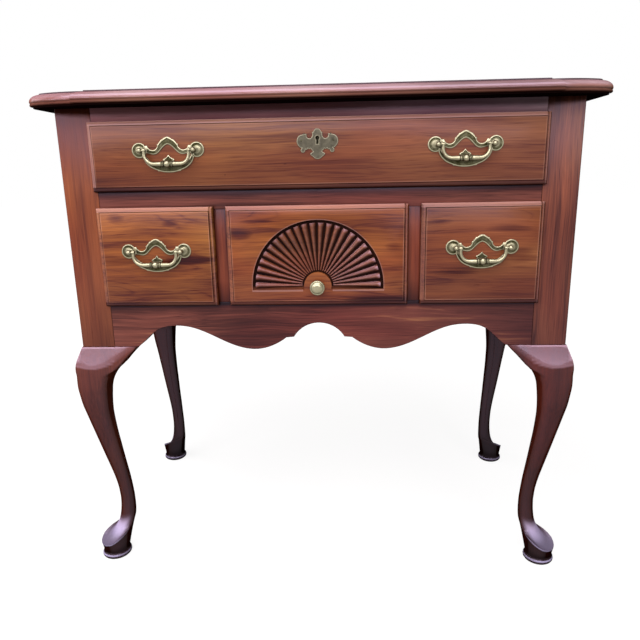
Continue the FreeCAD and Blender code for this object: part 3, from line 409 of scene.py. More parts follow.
def cherry(name, light, dark, grain, centre, sway, blotch, coarse, fine, rings=0.0, gloss=0.3, sheen=0.24,
           edges=None, shades=(), patches=(), seed=(0, 0, 0), glance=(0.25, 0.62), shine_from=None,
           rub=(0, 1, "#a88088", "#a88088"), halo=None):
    """Cherry, planed and coated with an old reddish lacquer: satin, with fine dark fibres, soft streaks, a
    few thin ring lines and slow changes from golden to maroon.
    sway: how far the figure wanders, in millimetres
    blotch, coarse, fine: strengths of its clouds, its streaks and its fibres
    edges: the sides of a drawer front, then the strength of the painted highlight on its left side and on all
    of its moulding
    shades: (axis, low, high, stops), tints along an axis, most of them painted light and shade
    patches: (x, z, half width, half height, colour), dark figure, or marks where no higher than 2 mm
    glance: where the shine begins and ends to fade towards a glancing angle
    shine_from: the heights between which the shine sets in
    rub: (low, high, colour, colour), by height, the colours of the painted highlights
    halo: (z, radius, foot, hub) of a carving at x 0 whose arris gets a painted highlight line"""
    material, n = fresh(name)
    place = n("ShaderNodeTexCoord", out="Object")
    axes = n("ShaderNodeSeparateXYZ", place).node.outputs

    def between(axis, low, high):
        """From 0 to 1 between two places on an axis."""
        return n("DIVIDE", n("SUBTRACT", axes[axis], low * MM), (high - low) * MM)

    shifted = n("ShaderNodeVectorMath", place, tuple(c * MM for c in centre), operation="SUBTRACT")
    # along the grain is X from here on, in millimetres
    board = n("ShaderNodeMapping", shifted, Rotation=GRAIN[grain], Location=seed, Scale=(1000, 1000, 1000))
    drift = streaks(n, board, 150, 50, rough=0.4, out="Color")
    drift = n("ShaderNodeVectorMath", drift, (0.5, 0.5, 0.5), operation="SUBTRACT")
    wander = n("ShaderNodeVectorMath", drift, (0, sway * 5, sway * 5), board, operation="MULTIPLY_ADD")
    cloud = streaks(n, wander, 160, 36, rough=0.4)
    broad = streaks(n, wander, 260, 9)
    narrow = streaks(n, wander, 200, 3.0)
    # real fibres are finer than this; they are drawn 1.4 mm wide so that they show
    fibre = streaks(n, wander, 55, 1.4, rough=0.6)
    tone = weighed(n, 0.5, (cloud, 1.7 * blotch), (broad, coarse), (narrow, 0.55 * fine), (fibre, 0.75 * fine))
    if rings:
        # thin late-wood lines, where the growth rings come up to the surface
        field = streaks(n, board, 210, 30, 0.3, 0.4)
        line = n(RAMP, n("PINGPONG", n("MULTIPLY", field, 11.0), 0.5), stops=[(0.0, 1), (0.07, 0.4), (0.2, 0)])
        faded = n(RAMP, streaks(n, board, 120, 45), stops=[(0.42, 0), (0.6, 1)])
        tone = n("MULTIPLY_ADD", n("MULTIPLY", line, faded), -0.3 * rings, tone)
    body = n(RAMP, tone, stops=[(0.0, mixed(dark, BLACK, 0.45)), (0.28, dark), (0.52, mixed(dark, light, 0.55)),
                                (0.78, light), (1.0, mixed(light, linear("#f0b070"), 0.25))])
    # mauve stain against golden wood
    stained = n(RAMP, streaks(n, board, 170, 60, rough=0.4), stops=[(0.40, 0), (0.62, 1)])
    body = n("multiply", stained, body, "#f0dde4")
    for axis, low, high, stops in shades:
        body = n("multiply", 1.0, body, n(RAMP, between(axis, low, high), stops=stops))
    for x, z, wide, tall, code in patches:
        dx, dz = between(0, x, x + wide), between(2, z, z + tall)
        square = n("MULTIPLY_ADD", dx, dx, n("MULTIPLY", dz, dz))
        if tall > 2:
            square = weighed(n, square, (fibre, 0.6), (narrow, 0.9), (broad, 1.6), (cloud, 2.2))
        body = n("multiply", n(RAMP, square, stops=[(0.0, 1), (1.0, 0)]), body, code)
    if edges:
        x0, x1, z0, z1, at_left, at_all = edges
        # distances from the lip's four edges, where 20 mm is 1
        left, right, below, above = (between(*side) for side in (
            (0, x0, x0 + 20), (0, x1, x1 - 20), (2, z0, z0 + 20), (2, z1, z1 - 20)))
        inset = n("MINIMUM", n("MINIMUM", left, right), n("MINIMUM", below, above))
        # the pale line round the field's edge is worn, and a painted highlight too
        worn = n(RAMP, inset, stops=[(0.31, 0), (0.345, 1), (0.37, 0.8), (0.42, 0)])
        worn = n("MULTIPLY", worn, n(RAMP, cloud, stops=[(0.35, 0.25), (0.6, 1)]))
        body = n("mix", n("MULTIPLY", worn, 0.3), body, "#c8937c")
        # painted light on the moulding: a painted highlight along its top and left sides and a thin one on its
        # right, and painted shade along its bottom and right sides
        crown = [(0.0, 0.8), (0.03, 1), (0.10, 0.42), (0.2, 0.4), (0.26, 0.75), (0.31, 0)]
        band = [(0.0, 1), (0.27, 1), (0.34, 0)]
        side_band = [(0.0, 0.6), (0.09, 0.5), (0.14, 0.1), (0.2, 0.4), (0.27, 1), (0.34, 0)]
        line = [(0.08, 0), (0.14, 0.5), (0.2, 0)]
        painted_shade = n("MAXIMUM", n(RAMP, below, stops=band), n(RAMP, right, stops=side_band))
        rubbed = n("MAXIMUM", n(RAMP, above, stops=crown), n("MULTIPLY", n(RAMP, left, stops=crown), at_left))
        rubbed = n("MAXIMUM", n("SUBTRACT", rubbed, painted_shade), n(RAMP, right, stops=line))
        body = n("mix", n("MULTIPLY", rubbed, at_all, use_clamp=True), body, "#cc9a90")
        body = n("mix", n("MULTIPLY", painted_shade, 0.6), body, "#2c1214")
    if halo:
        centre_z, radius, foot, hub = halo
        x, z = n("ABSOLUTE", between(0, 0, 1)), between(2, centre_z, centre_z + 1)
        out = n("SQRT", n("MULTIPLY_ADD", x, x, n("MULTIPLY", z, z)))
        # how far off the arc and off the flat foot, with 9 mm added beyond their ends
        off_arc = n("ABSOLUTE", n("SUBTRACT", out, radius + 0.7))
        off_arc = n("MULTIPLY_ADD", n("LESS_THAN", z, -foot), 9.0, off_arc)
        off_foot = n("MULTIPLY", n("ABSOLUTE", n("ADD", z, foot + 1.5)), 0.55)
        past = n("ADD", n("GREATER_THAN", x, radius + 1.0), n("LESS_THAN", x, hub))
        off_foot = n("MULTIPLY_ADD", past, 9.0, off_foot)
        # pale is a painted highlight line along the carving's arc and its flat foot
        pale = n("MAXIMUM", n(RAMP, off_arc, stops=[(0.0, 0.26), (1.0, 0)]),
                 n(RAMP, off_foot, stops=[(0.0, 0.42), (1.0, 0)]))
        body = n("mix", pale, body, "#c49a92")
    # the mesh's values: towards 1 painted shade in recesses and dark joints, taken to near black; towards -1 a
    # painted highlight in the sheen colours
    hollow = n("ShaderNodeAttribute", attribute_name="hollow", out="Fac")
    deep = n("MULTIPLY", hollow, 0.94, use_clamp=True)
    low, high, *painted_sheen = rub
    painted_sheen = n(RAMP, between(2, low, high), stops=zip((0.0, 1.0), painted_sheen))
    body = n("mix", n("MULTIPLY", hollow, -1.0, use_clamp=True), body, painted_sheen)
    body = n("mix", deep, body, "#120808")
    # the lacquer is too dull to mirror the studio at a glancing angle, and the shine is taken out where a
    # groove is painted with shade
    glancing = n(RAMP, n("ShaderNodeLayerWeight", out="Facing"), stops=zip(glance, (1, 0)))
    level = n("MULTIPLY", n("MULTIPLY", glancing, n("MULTIPLY_ADD", deep, -0.9, 1.0)), sheen)
    if shine_from:
        level = n("MULTIPLY", level, n(RAMP, between(2, *shine_from), stops=[(0.0, 0), (1.0, 1)]))
    # the shine is tinted lavender: a painted reflection of a lavender sky
    n("ShaderNodeOutputMaterial", n(
        "ShaderNodeBsdfPrincipled", Base_Color=body, Roughness=n("MULTIPLY_ADD", fibre, 0.12, gloss - 0.06),
        IOR=1.5, Specular_IOR_Level=level, Specular_Tint="#ecdcf6",
        Normal=n("ShaderNodeBump", Strength=0.14, Distance=0.0003, Height=fibre)))
    return material


def inside_wood(name, light, dark, grain):
    """Poplar, sawn and left bare: pale, dry and matt, with faint greyish streaks."""
    material, n = fresh(name)
    place = n("ShaderNodeTexCoord", out="Object")
    board = n("ShaderNodeMapping", place, Rotation=GRAIN[grain], Scale=(1000, 1000, 1000))
    # saw marks across the grain, about 3 mm apart
    saw = streaks(n, board, 3, 60, 2.0)
    tone = weighed(n, streaks(n, board, 300, 14, 3.0, 0.6), (saw, 0.25))
    body = n(RAMP, tone, stops=[(0.25, dark), (0.7, light)])
    n("ShaderNodeOutputMaterial", n(
        "ShaderNodeBsdfPrincipled", Base_Color=body, Roughness=0.78,
        Normal=n("ShaderNodeBump", Strength=0.2, Distance=0.0003, Height=saw)))
    return material


def old_brass(name, bright, dull, wear, roughness):
    """Cast brass, filed and long since darkened: dull olive in its recesses, pale and worn on its edges."""
    material, n = fresh(name)
    place = n("ShaderNodeTexCoord", out="Object")
    # cloudy tarnish, about 6 mm, with specks of 0.8 mm
    cloud = n("ShaderNodeTexNoise", place, Scale=160.0, Detail=4.0, Roughness=0.6, out="Fac")
    speck = n("ShaderNodeTexNoise", place, Scale=1200.0, Detail=2.0, out="Fac")
    hollow = n("ShaderNodeAttribute", attribute_name="hollow", out="Fac")
    tarnish = n("MULTIPLY", weighed(n, 1.0 - wear, (cloud, 1.3)), 0.55)
    tarnish = n("MULTIPLY_ADD", hollow, 0.9, tarnish, use_clamp=True)
    n("ShaderNodeOutputMaterial", n(
        "ShaderNodeBsdfPrincipled", Base_Color=n("mix", tarnish, bright, dull), Metallic=1.0,
        Roughness=n("MULTIPLY_ADD", tarnish, 0.22, roughness),
        Normal=n("ShaderNodeBump", Strength=0.25, Distance=0.0002,
                 Height=n("MULTIPLY_ADD", speck, 0.5, cloud))))
    return material


def bright_steel(name, body):
    """Steel, turned and oiled: grey, with fine rings of tool marks."""
    material, n = fresh(name)
    place = n("ShaderNodeTexCoord", out="Object")
    marks = n("ShaderNodeTexNoise", place, Scale=900.0, Detail=2.0, out="Fac")
    grey = n(RAMP, marks, stops=[(0.3, mixed(body, BLACK, 0.4)), (0.7, body)])
    n("ShaderNodeOutputMaterial", n(
        "ShaderNodeBsdfPrincipled", Base_Color=grey, Metallic=1.0,
        Roughness=n("MULTIPLY_ADD", marks, 0.2, 0.3)))
    return material


FINISHES = {}


def finishes():
    """Every finish of the piece, made once."""
    if FINISHES:
        return FINISHES
    group = bpy.context.scene.lowboy_finishes
    c = {key: tuple(getattr(group, key)) for key in keys_of(group)}
    # painted shadow under the lips of the drawers, and painted shade where the dividers meet them
    under_long, under_short = (span(node)[0][2] for node in ("top_drawer_front", "left_drawer_front"))
    shadow = [(0.0, "#ffffff"), (0.5, "#b09a98"), (0.85, "#6c504c"), (1.0, "#503834")]
    shade_beside_lips = [(0.0, "#ffffff"), (0.01, "#907474"), (0.35, "#ffffff"), (0.65, "#ffffff"), (0.99, "#907474"),
                (1.0, "#ffffff")]
    beside = [(0, span(node)[0][0], span(node)[1][0], shade_beside_lips) for node in ("divider_left", "divider_right")]
    # height of the posts, and half the width between them
    rise, half = (375, 727), 320

    def wood(key, name, tones, *figure, **options):
        FINISHES[key] = cherry("lacquered_cherry_" + name, c[tones + "_light"], c[tones + "_dark"], *figure,
                               **options)

    # painted light on the top's edge: painted shade on the underside and bead, a painted highlight band across
    # the thumb, the upper face toned back down, painted shade at the left end and towards the right but for its
    # corner, and no shine below the nose
    wood("top_board", "top", "top", "X", (0, 40, 700), 3, 0.4, 0.4, 0.5, gloss=0.2, sheen=0.85,
         shine_from=(733.0, 738.0), shades=[
             (2, 727, 747, [(0.0, "#3c2c28"), (0.06, "#5c483e"), (0.14, "#947c66"), (0.3, "#bea284"),
                            (0.42, "#d2b090"), (0.52, "#f4d4bc"), (0.64, "#fff8f4"), (0.8, "#f8f2ee"),
                            (0.9, "#ccc8cc"), (0.96, "#84686a"), (1.0, "#84686a")]),
             (0, -404, 404, [(0.0, "#ece0e0"), (0.1, "#f4ece8"), (0.6, "#ffffff"), (0.75, "#c8bcbc"),
                             (0.88, "#c8bcbc"), (1.0, "#ffffff")])])
    wood("rail", "rails", "case", "X", (60, 30, 500), 2, 0.5, 0.7, 0.85,
         shades=[(2, under_long - 11, under_long, shadow)])
    # painted light on the top rail: a painted bluish reflection towards the right, and painted shade darker
    # towards its lower edge
    wood("top_rail", "top_rail", "top", "X", (60, 30, 500), 2, 0.4, 0.5, 0.6, shades=[
        (0, -half, half, [(0.0, "#eec6c4"), (0.5, "#d0b0ac"), (0.8, "#e6dcec"), (1.0, "#f4f8ff")]),
        (2, 700, 727, [(0.0, "#94827e"), (0.5, "#dcd2d0"), (1.0, "#ffffff")])])
    # painted shade towards the right, and a painted shadow under the lips of the short drawers
    wood("apron", "apron", "case", "X", (-80, 20, 360), 3, 0.6, 0.7, 0.85, shades=[
        (0, -half, half, [(0.0, "#fff8f4"), (0.6, "#fcf0f0"), (1.0, "#b2a8b4")]),
        (2, under_short - 7, under_short, shadow)])
    wood("side", "sides", "case", "Y", (340, 30, 540), 5, 0.6, 0.7, 0.8, rings=0.5)
    # painted shadow under the top at the posts' upper ends; the posts are also a little darker towards the
    # bottom
    wood("post_left", "posts", "post", "Z", (345, -160, 500), 2, 0.4, 0.3, 0.55, shades=[
        (2, *rise, [(0.0, "#d4d0d4"), (0.3, "#f6eeea"), (0.7, "#f6e8c6"), (0.92, "#cca880"),
                    (1.0, "#907a70")])])
    wood("post_right", "right_posts", "right", "Z", (345, -160, 500), 2, 0.5, 0.5, 0.8, seed=(0, 90, 30),
         shades=[(2, *rise, [(0.0, "#c6bcca"), (0.5, "#e2d8d2"), (0.92, "#ffffee"), (1.0, "#a89494")])])
    # painted shade on the dividers: darker at both ends, under and over the lips, and at both sides, where the
    # drawers' lips overhang them
    wood("divider", "dividers", "post", "Z", (141, -170, 520), 1.5, 0.5, 0.7, 0.7, shades=[
        (2, 440, 590, [(0.0, "#705858"), (0.25, "#e0d0cc"), (0.8, "#d8c8c4"), (1.0, "#705858")]), *beside])
    # painted light on the legs: the sheen colours are a painted reflection, lavender low on the feet; the right
    # legs are painted in shade and the rear legs in the shadow under the case; the legs are also darker towards
    # the feet
    wood("leg", "legs", "leg", "Z", (350, -160, 200), 2, 0.3, 0.3, 0.5, gloss=0.2, sheen=0.36,
         glance=(0.12, 0.45), rub=(30, 110, "#b0a6c6", "#a8828c"), shades=[
             (2, 0, 375, [(0.0, "#6c5a62"), (0.09, "#7c6a70"), (0.15, "#a08e8e"), (0.3, "#b0a09c"),
                          (0.65, "#ccbab4"), (0.84, "#f0dcd0")]),
             (0, -400, 400, [(0.0, "#ffffff"), (0.5, "#e8e0e0"), (1.0, "#e0ccc8")]),
             (1, -200, 200, [(0.3, "#ffffff"), (0.7, "#a89498")])])
    wood("fan", "fan", "fan", "X", (0, -186, 520), 2, 0.3, 0.3, 0.4, gloss=0.22, sheen=0.34)
    dark, soft = "#94695a", "#a47a66"
    # of each drawer front: its tones, its figure, its tints from the bottom up, and its patches
    looks = {
        "top": ("long", (2, 0.4, 0.5, 0.8), 0.0, ("#d2c2c2", "#ece2e0", "#fffcf4"), [
            (-128.6, 631.5, 0.9, 0.9, "#301010"), (-42.6, 645.0, 3.0, 0.8, "#804840")]),
        "left": ("short", (3, 0.5, 0.5, 0.7), 0.5, ("#d9c4c9", "#eadece", "#f8f2ca"), [
            (-294, 572, 17, 11, dark), (-296, 509, 40, 9, dark), (-191, 511, 42, 8, soft),
            (-213, 564, 14, 5, soft)]),
        "centre": ("middle", (3, 0.5, 0.5, 0.7), 0.6, ("#f3e4ec", "#f2e5d2", "#e6cf9e"), [
            (-112, 545, 20, 9, dark), (-87, 565, 26, 4, soft), (110, 528, 17, 8, soft),
            (92, 448, 60, 5, dark)]),
        "right": ("middle", (3, 0.6, 0.5, 0.7), 0.5, ("#c7b6d0", "#d8d1d6", "#d3c8b9"), [
            (273, 551, 40, 10, dark), (204, 489, 44, 9, dark), (176, 561, 24, 6, soft),
            (296, 508, 30, 20, soft)]),
    }
    for side, (tones, figure, rings, fall, patches) in looks.items():
        (x0, _, z0), (x1, _, z1) = span(side + "_drawer_front")
        shades = [(2, z0, z1, [*zip((0.0, 0.5, 0.9), fall)])]
        if side == "top":
            shades.append((0, -half, half, [(0.0, "#e1d9c8"), (0.3, "#fbfee8"), (0.6, "#f6f4f4"),
                                            (1.0, "#f0eeff")]))
        wood(side, side + "_drawer", tones, "X", middle_of(side + "_drawer_front"), *figure, rings,
             patches=patches, shades=shades, seed=(300 * len(side), 40 * len(side), 0),
             edges=(x0, x1, z0, z1, *((0.7, 0.9) if side == "top" else (0.3, 0.62))),
             halo=(FAN_Z, 96.5, 5.2, 22.0) if side == "centre" else None)
    FINISHES.update({
        "inside_x": inside_wood("bare_poplar_across", c["inner_light"], c["inner_dark"], "X"),
        "inside_y": inside_wood("bare_poplar_lengthways", c["inner_light"], c["inner_dark"], "Y"),
        "brass": old_brass("tarnished_cast_brass", c["brass_bright"], c["brass_dull"], 0.65, 0.27),
        "plate_brass": old_brass("dull_sheet_brass", c["plate_bright"], c["plate_dull"], 0.6, 0.38),
        "lock_brass": old_brass("plain_lock_brass", c["brass_bright"], c["brass_dull"], 0.7, 0.4),
        "steel": bright_steel("oiled_steel", c["steel"]),
    })
    return FINISHES


# ---------------------------------------------------------------- top board

def top_outline(inset):
    """Half of the top's outline, from the middle of the front to the middle of the back."""
    corner_length, step, small_r, corner_depth = 77.0, 8.0, 30.0, 40.0
    lobe_front = NOSE_FRONT + step
    y_side = lobe_front + corner_depth
    small_x = NOSE_X - small_r
    start_x = NOSE_X - corner_length
    large_r = (small_r ** 2 - (small_x - start_x) ** 2 - corner_depth ** 2) / (2 * (small_r - corner_depth))
    large_y = lobe_front + large_r
    large, small = large_r - inset, small_r - inset
    front, back = NOSE_FRONT + inset, NOSE_BACK - inset
    step_x, step_y = start_x - inset, large_y - math.sqrt(large ** 2 - inset ** 2)
    points = [(0.0, front), (step_x * 0.5, front), (step_x - 4, front), (step_x, front),
              (step_x, (front + step_y) / 2), (step_x, step_y)]
    # the large arc runs from the step to where the small one meets it, and that one on to the side
    start = math.atan2(step_y - large_y, step_x - start_x)
    meet = math.atan2(y_side - large_y, small_x - start_x)
    for k in range(1, 15):
        a = start + (meet - start) * k / 14
        points.append((start_x + large * math.cos(a), large_y + large * math.sin(a)))
    for k in range(1, 11):
        a = meet * (1 - k / 10)
        points.append((small_x + small * math.cos(a), y_side + small * math.sin(a)))
    x = NOSE_X - inset
    points += [(x, y_side + (back - y_side) * t) for t in (0.3, 0.7)]
    return points + [(x, back), (x * 0.5, back), (0.0, back)]


def top_profile(sizes):
    """(inset, height, shade) of the top's edge, from its upper face down, with painted shade in the quirk and
    under the bead
    """
    width, drop, quirk = sizes.thumb_width / MM, sizes.thumb_drop / MM, sizes.top_quirk / MM
    bead, bead_drop = sizes.bead_width / MM, sizes.bead_drop / MM
    nose = TOP_FACE - quirk - drop
    rows = [(width + 0.9, TOP_FACE, 0.0), (width + 0.3, TOP_FACE - 0.15, 0.0), (width, TOP_FACE - 0.5, 0.1),
            (width, TOP_FACE - quirk + 0.2, 0.9), (width - 0.5, TOP_FACE - quirk - 0.1, 0.8)]
    for k in range(1, 12):
        a = math.radians(6 + 84 * k / 12)
        rows.append((width * (1 - math.sin(a)), nose + drop * math.cos(a), 0.0))
    rows += [(0.0, nose, 0.0), (0.15, nose - 0.8, 0.0), (1.0, nose - 1.5, 0.1), (1.1, nose - 2.0, 0.1),
             (0.5, nose - 2.4, 0.0)]
    for k in range(1, 8):
        a = math.radians(-60 + 150 * k / 7)
        rows.append((bead * 0.55 * (1 - math.cos(a)) + 0.1,
                     nose - 4.2 - (bead_drop - 3.2) * 0.55 * math.sin(a), 0.0))
    return rows + [(bead + 0.6, nose - bead_drop - 0.2, 0.7), (bead + 1.5, nose - bead_drop - 0.4, 0.8),
                   (bead + 1.5, CASE_TOP, 0.9)]


class LOWBOY_OT_top(bpy.types.Operator):
    """Top board with its thumb moulding, bead and shaped front corners"""
    bl_idname = "lowboy.top"
    bl_label = "Top board"

    def execute(self, context):
        shape = Shape()
        rings = []
        for inset, z, hollow in top_profile(context.scene.lowboy_sizes):
            half = top_outline(inset)
            outline = half + [(-x, y) for x, y in reversed(half[1:-1])]
            rings.append(([(x, y, z) for x, y in outline], hollow))
        shape.loft(rings)
        shown(shape.piece("moulded_top", 40), "case", ["top_board"], finishes()["top_board"])
        return {"FINISHED"}


# ---------------------------------------------------------------- case

CORNERS = [(end, side) for end in ("front", "rear") for side in ("left", "right")]


def eased(node, width, chosen, faces):
    """A copy of a CAD board whose chosen sharp edges are rounded over, and dark down in the seams.
    faces are the board's visible planes, as (axis, value)."""
    bm = copy_of(node)
    bmesh.ops.dissolve_limit(bm, angle_limit=math.radians(0.5), verts=bm.verts[:], edges=bm.edges[:])
    edges = [e for e in bm.edges if e.is_manifold and e.calc_face_angle(0.0) > math.radians(25)
             and chosen(*(v.co / MM for v in e.verts))]
    bmesh.ops.bevel(bm, geom=edges, offset=width, offset_type="OFFSET", segments=2, profile=0.5,
                    affect="EDGES", clamp_overlap=False)
    layer = bm.verts.layers.float.new("hollow")
    for v in bm.verts:
        depth = min(abs(v.co[axis] - value * MM) for axis, value in faces)
        v[layer] = min(1.0, depth / width * 1.6)
    return finished(node + "_board", bm, 30)


def planes_of(low, high):
    """The six planes round a box, as (axis, value)."""
    return [(axis, corner[axis]) for axis in (0, 1, 2) for corner in (low, high)]


def on_planes(planes, least=2):
    """A test for edges that lie on so many of these planes."""
    def test(a, b):
        return sum(abs(a[axis] - value) < 0.02 and abs(b[axis] - value) < 0.02
                   for axis, value in planes) >= least
    return test


class LOWBOY_OT_case(bpy.types.Operator):
    """Posts, rails, dividers, apron, sides and back"""
    bl_idname = "lowboy.case"
    bl_label = "Case"

    def execute(self, context):
        def board(node, finish, chosen, *faces):
            shown(eased(node, context.scene.lowboy_sizes.seam, chosen, faces or [(1, FRONT)]), "case", [node],
                  finishes()[finish])

        for end, side in CORNERS:
            node = "post_" + end + "_" + side
            low, high = span(node)
            board(node, "post_" + side, on_planes(planes_of(low, high)),
                  (0, low[0] if side == "left" else high[0]), (1, low[1] if end == "front" else high[1]))
        for node, finish in (("top_rail", "top_rail"), ("middle_rail", "rail")):
            low, high = span(node)
            low[0], high[0] = -HALF_INNER, HALF_INNER
            board(node, finish, on_planes(planes_of(low, high)))
        for node in ("divider_left", "divider_right"):
            low, high = span(node)
            # as far as the drawers beside it overlap it
            low[2], high[2] = (corner[2] + by for corner, by in zip(span("left_drawer_front"), (4, -4)))
            board(node, "divider", on_planes(planes_of(low, high)))
        in_front = on_planes([(1, FRONT)], 1)
        board("front_apron", "apron", lambda a, b: in_front(a, b) and abs(a[0]) < HALF_INNER + 0.02)
        for k, side in enumerate(("left", "right")):
            face = (0, span("side_panel_" + side)[k][0])
            board("side_panel_" + side, "side", on_planes([face], 1), face)
        coat(finishes()["inside_x"], "back_panel")
        return {"FINISHED"}


# ---------------------------------------------------------------- legs and brackets

# height, outer and inner face of a leg, counted from the case's faces, and its roundness
LEG = through([
    (100, -20.5, -43.3, 0.94), (120, -19.3, -41.9, 0.92), (140, -16.6, -40.2, 0.89), (160, -13.0, -38.1, 0.86),
    (180, -9.1, -36.1, 0.82), (200, -5.2, -34.2, 0.76), (220, -1.5, -32.2, 0.68), (240, 2.2, -30.7, 0.59),
    (260, 5.8, -29.7, 0.50), (280, 9.4, -30.3, 0.42), (300, 11.5, -31.9, 0.34), (310, 12.3, -33.3, 0.31),
    (320, 12.5, -36.5, 0.28), (330, 12.5, -42.2, 0.25), (336, 12.5, -47.0, 0.22), (341, 12.3, -51.0, 0.20),
    (350, 12.2, -51.0, 0.16), (375, 12.2, -51.0, 0.10)], 10)
# by distance from the side face, how far the knee's front swells past its corner, and how softly the
# facet turns into it
SWELL = [(-84.5, -11.2), (-78.4, -9.9), (-71.3, -8.2), (-64.2, -6.3), (-54.8, -4.0), (-47.8, -2.3),
         (-38.3, -0.6), (-21.5, 0.9), (-6.9, 0.7), (4.1, 0.0), (13.0, -0.6)]
ARRIS = [(-84.0, 4.0), (-50.0, 4.0), (-35.0, 2.0), (-4.0, 1.4), (4.0, 3.4), (13.0, 3.6)]
# by height, how round the leg's side corners are
SIDE_ROUND = [(100, 0.94), (200, 0.80), (250, 0.70), (300, 0.62), (325, 0.55), (345, 0.45)]
# by angle from the toe, in degrees, the height of the foot's rim
RIM = through([(0, 27.5), (20, 27.9), (45, 30.5), (70, 36.4), (90, 42.0), (125, 51.5), (150, 58.0),
               (180, 64.0)], 6)
FOOT_CENTRE, FOOT_R, WAIST_R, WAIST_Z, ANKLE = -12.1, 23.9, 20.6, 11.6, 100
# radius, height and painted shade of the pad under the foot, from its waist down, where None takes the painted
# highlight of its bright rim
PAD = [(20.9, 10.4, 0.8), (22.4, 9.4, 0.0), (23.4, 7.8, None), (23.9, 5.6, 0.0), (23.6, 3.6, 0.0),
       (22.4, 1.8, 0.2), (20.6, 0.5, 0.5), (19.0, 0.0, 0.6)]
# lower edge of a bracket: distance from the case's corner and height
BRACKET = [(-84.3, 374.2), (-82.0, 370.4), (-79.5, 367.3), (-72.0, 359.8), (-66.0, 353.4), (-62.0, 348.9),
           (-57.8, 344.4), (-54.2, 341.2), (-51.0, 338.0)]
FACET_SLOPE = 0.38


def facet(z):
    """The flat facet over the knee: how far it stands out at a height."""
    return 1.0 + FACET_SLOPE * (CASE_BOTTOM - z)


def soft_least(a, b, k):
    """The smaller of two values, with the corner between them rounded over k."""
    share = max(k - abs(a - b), 0.0) / k
    return min(a, b) - share * share * k / 4


def facet_sheen(z):
    """How strong the painted highlight on the facet is at a height."""
    return 0.1 + 0.3 * ease((370 - z) / 35)


def leg_ring(z):
    """One section of a right front leg as (u, v, painted highlight as a negative value), from the case's side
    and front faces.
    """
    out, inner, roundness = (table(LEG, z, column) for column in (1, 2, 3))
    half, middle = (out - inner) / 2, (out + inner) / 2
    joint = ease((z - 327) / 15)           # square where the brackets are glued
    toe_r = half * roundness * (1 - 0.55 * joint)
    side_r = half * table(SIDE_ROUND, z) * (1 - joint) + 0.3 * joint
    arcs = []
    for u, v, start, r in ((out, out, 0, toe_r), (inner, out, 90, side_r), (inner, inner, 180, side_r),
                           (out, inner, 270, side_r)):
        u, v = (c - r if c == out else c + r for c in (u, v))
        arcs.append([(u + r * math.cos(a), v + r * math.sin(a))
                     for a in (math.radians(start + 15 * i) for i in range(7))])
    points = []
    for arc, following in zip(arcs, arcs[1:] + arcs[:1]):
        points += arc + [mixed(arc[-1], following[0], i / 8) for i in range(1, 8)]
    knee = ease((z - 312) / 26)
    belly = 0.7 * ease((z - 120) / 60) * (1 - knee)
    limit = facet(z)

    def swollen(value, other):
        """A coordinate pushed out by the knee's swell, on the side that it faces."""
        out_by, off = (value - middle) / half, (other - middle) / half
        return value + (table(SWELL, other) * knee + belly * (1 - off * off)) * ease((out_by - 0.2) / 0.6)

    shaped = []
    for u, v in points:
        nu, nv = swollen(u, v), swollen(v, u)
        cuts = [ease((n - limit + 1.0) / 2) for n in (nu, nv)]
        cut = max(cuts)
        # a painted highlight on the knee's facet, stronger low down, and along its crest
        painted_sheen = cut * facet_sheen(z) + 0.5 * min(cuts) + 1.0 * cut * (1 - cut)
        shaped.append((soft_least(nu, limit, table(ARRIS, v)), soft_least(nv, limit, table(ARRIS, u)),
                       -painted_sheen))
    return shaped


def foot_rings(ankle):
    """Rings of the ankle and the pad foot, downwards from the leg's last ring."""
    middle = sum(u for u, _ in ankle) / len(ankle)
    bearings = [math.atan2(v - middle, u - middle) for u, v in ankle]
    # how far each point lies round from the toe, in degrees
    round_by = [abs((math.degrees(b) + 135) % 360 - 180) for b in bearings]

    def circle(radius, z):
        return [(FOOT_CENTRE + radius * math.cos(b), FOOT_CENTRE + radius * math.sin(b), z) for b in bearings]

    rim = []
    for flat, leg, a in zip(circle(FOOT_R, 0), ankle, round_by):
        t = min(max((a - 60) / 115, 0.0), 1.0) ** 1.5
        rim.append((*mixed(flat[:2], leg, t), table(RIM, a)))
    rings = []
    for t in (k / 18 for k in range(1, 19)):
        across, down = t ** 2.1, 1 - (1 - t) ** 1.75
        ring = []
        for leg, (*edge, z) in zip(ankle, rim):
            grow = 1 + 0.7 * math.sin(math.pi * t) * ease((z - 40) / 20) / 11
            ring.append((*(middle + (a - middle) * grow * (1 - across) + (b - middle) * across
                           for a, b in zip(leg, edge)), ANKLE + (z - ANKLE) * down))
        # the dish round the toe carries a painted reflection, pale
        dish = ease((t - 0.3) / 0.18) * (1 - 0.72 * ease((t - 0.5) / 0.35))
        rings.append((ring, [-ease((100 - a) / 60) * dish for a in round_by]))
    # a painted highlight along the rim
    lowered = [(u, v, z - 0.9) for u, v, z in rim]
    rings.append((lowered, [-0.75 * ease((130 - a) / 60) for a in round_by]))
    # painted shade in the undercut below the rim
    for t in (k / 7 for k in range(1, 8)):
        rings.append(([(*mixed(edge, waist, t ** 0.92), z + (WAIST_Z - z) * t)
                       for (*edge, z), (*waist, _) in zip(lowered, circle(WAIST_R, 0))],
                      0.15 + 0.7 * ease((t - 0.5) / 0.5)))
    # a painted highlight round the pad's bead, strongest on the toe side
    shine = [-0.5 - 0.45 * ease((95 - a) / 45) for a in round_by]
    return rings + [(circle(radius, z), shine if hollow is None else hollow) for radius, z, hollow in PAD]


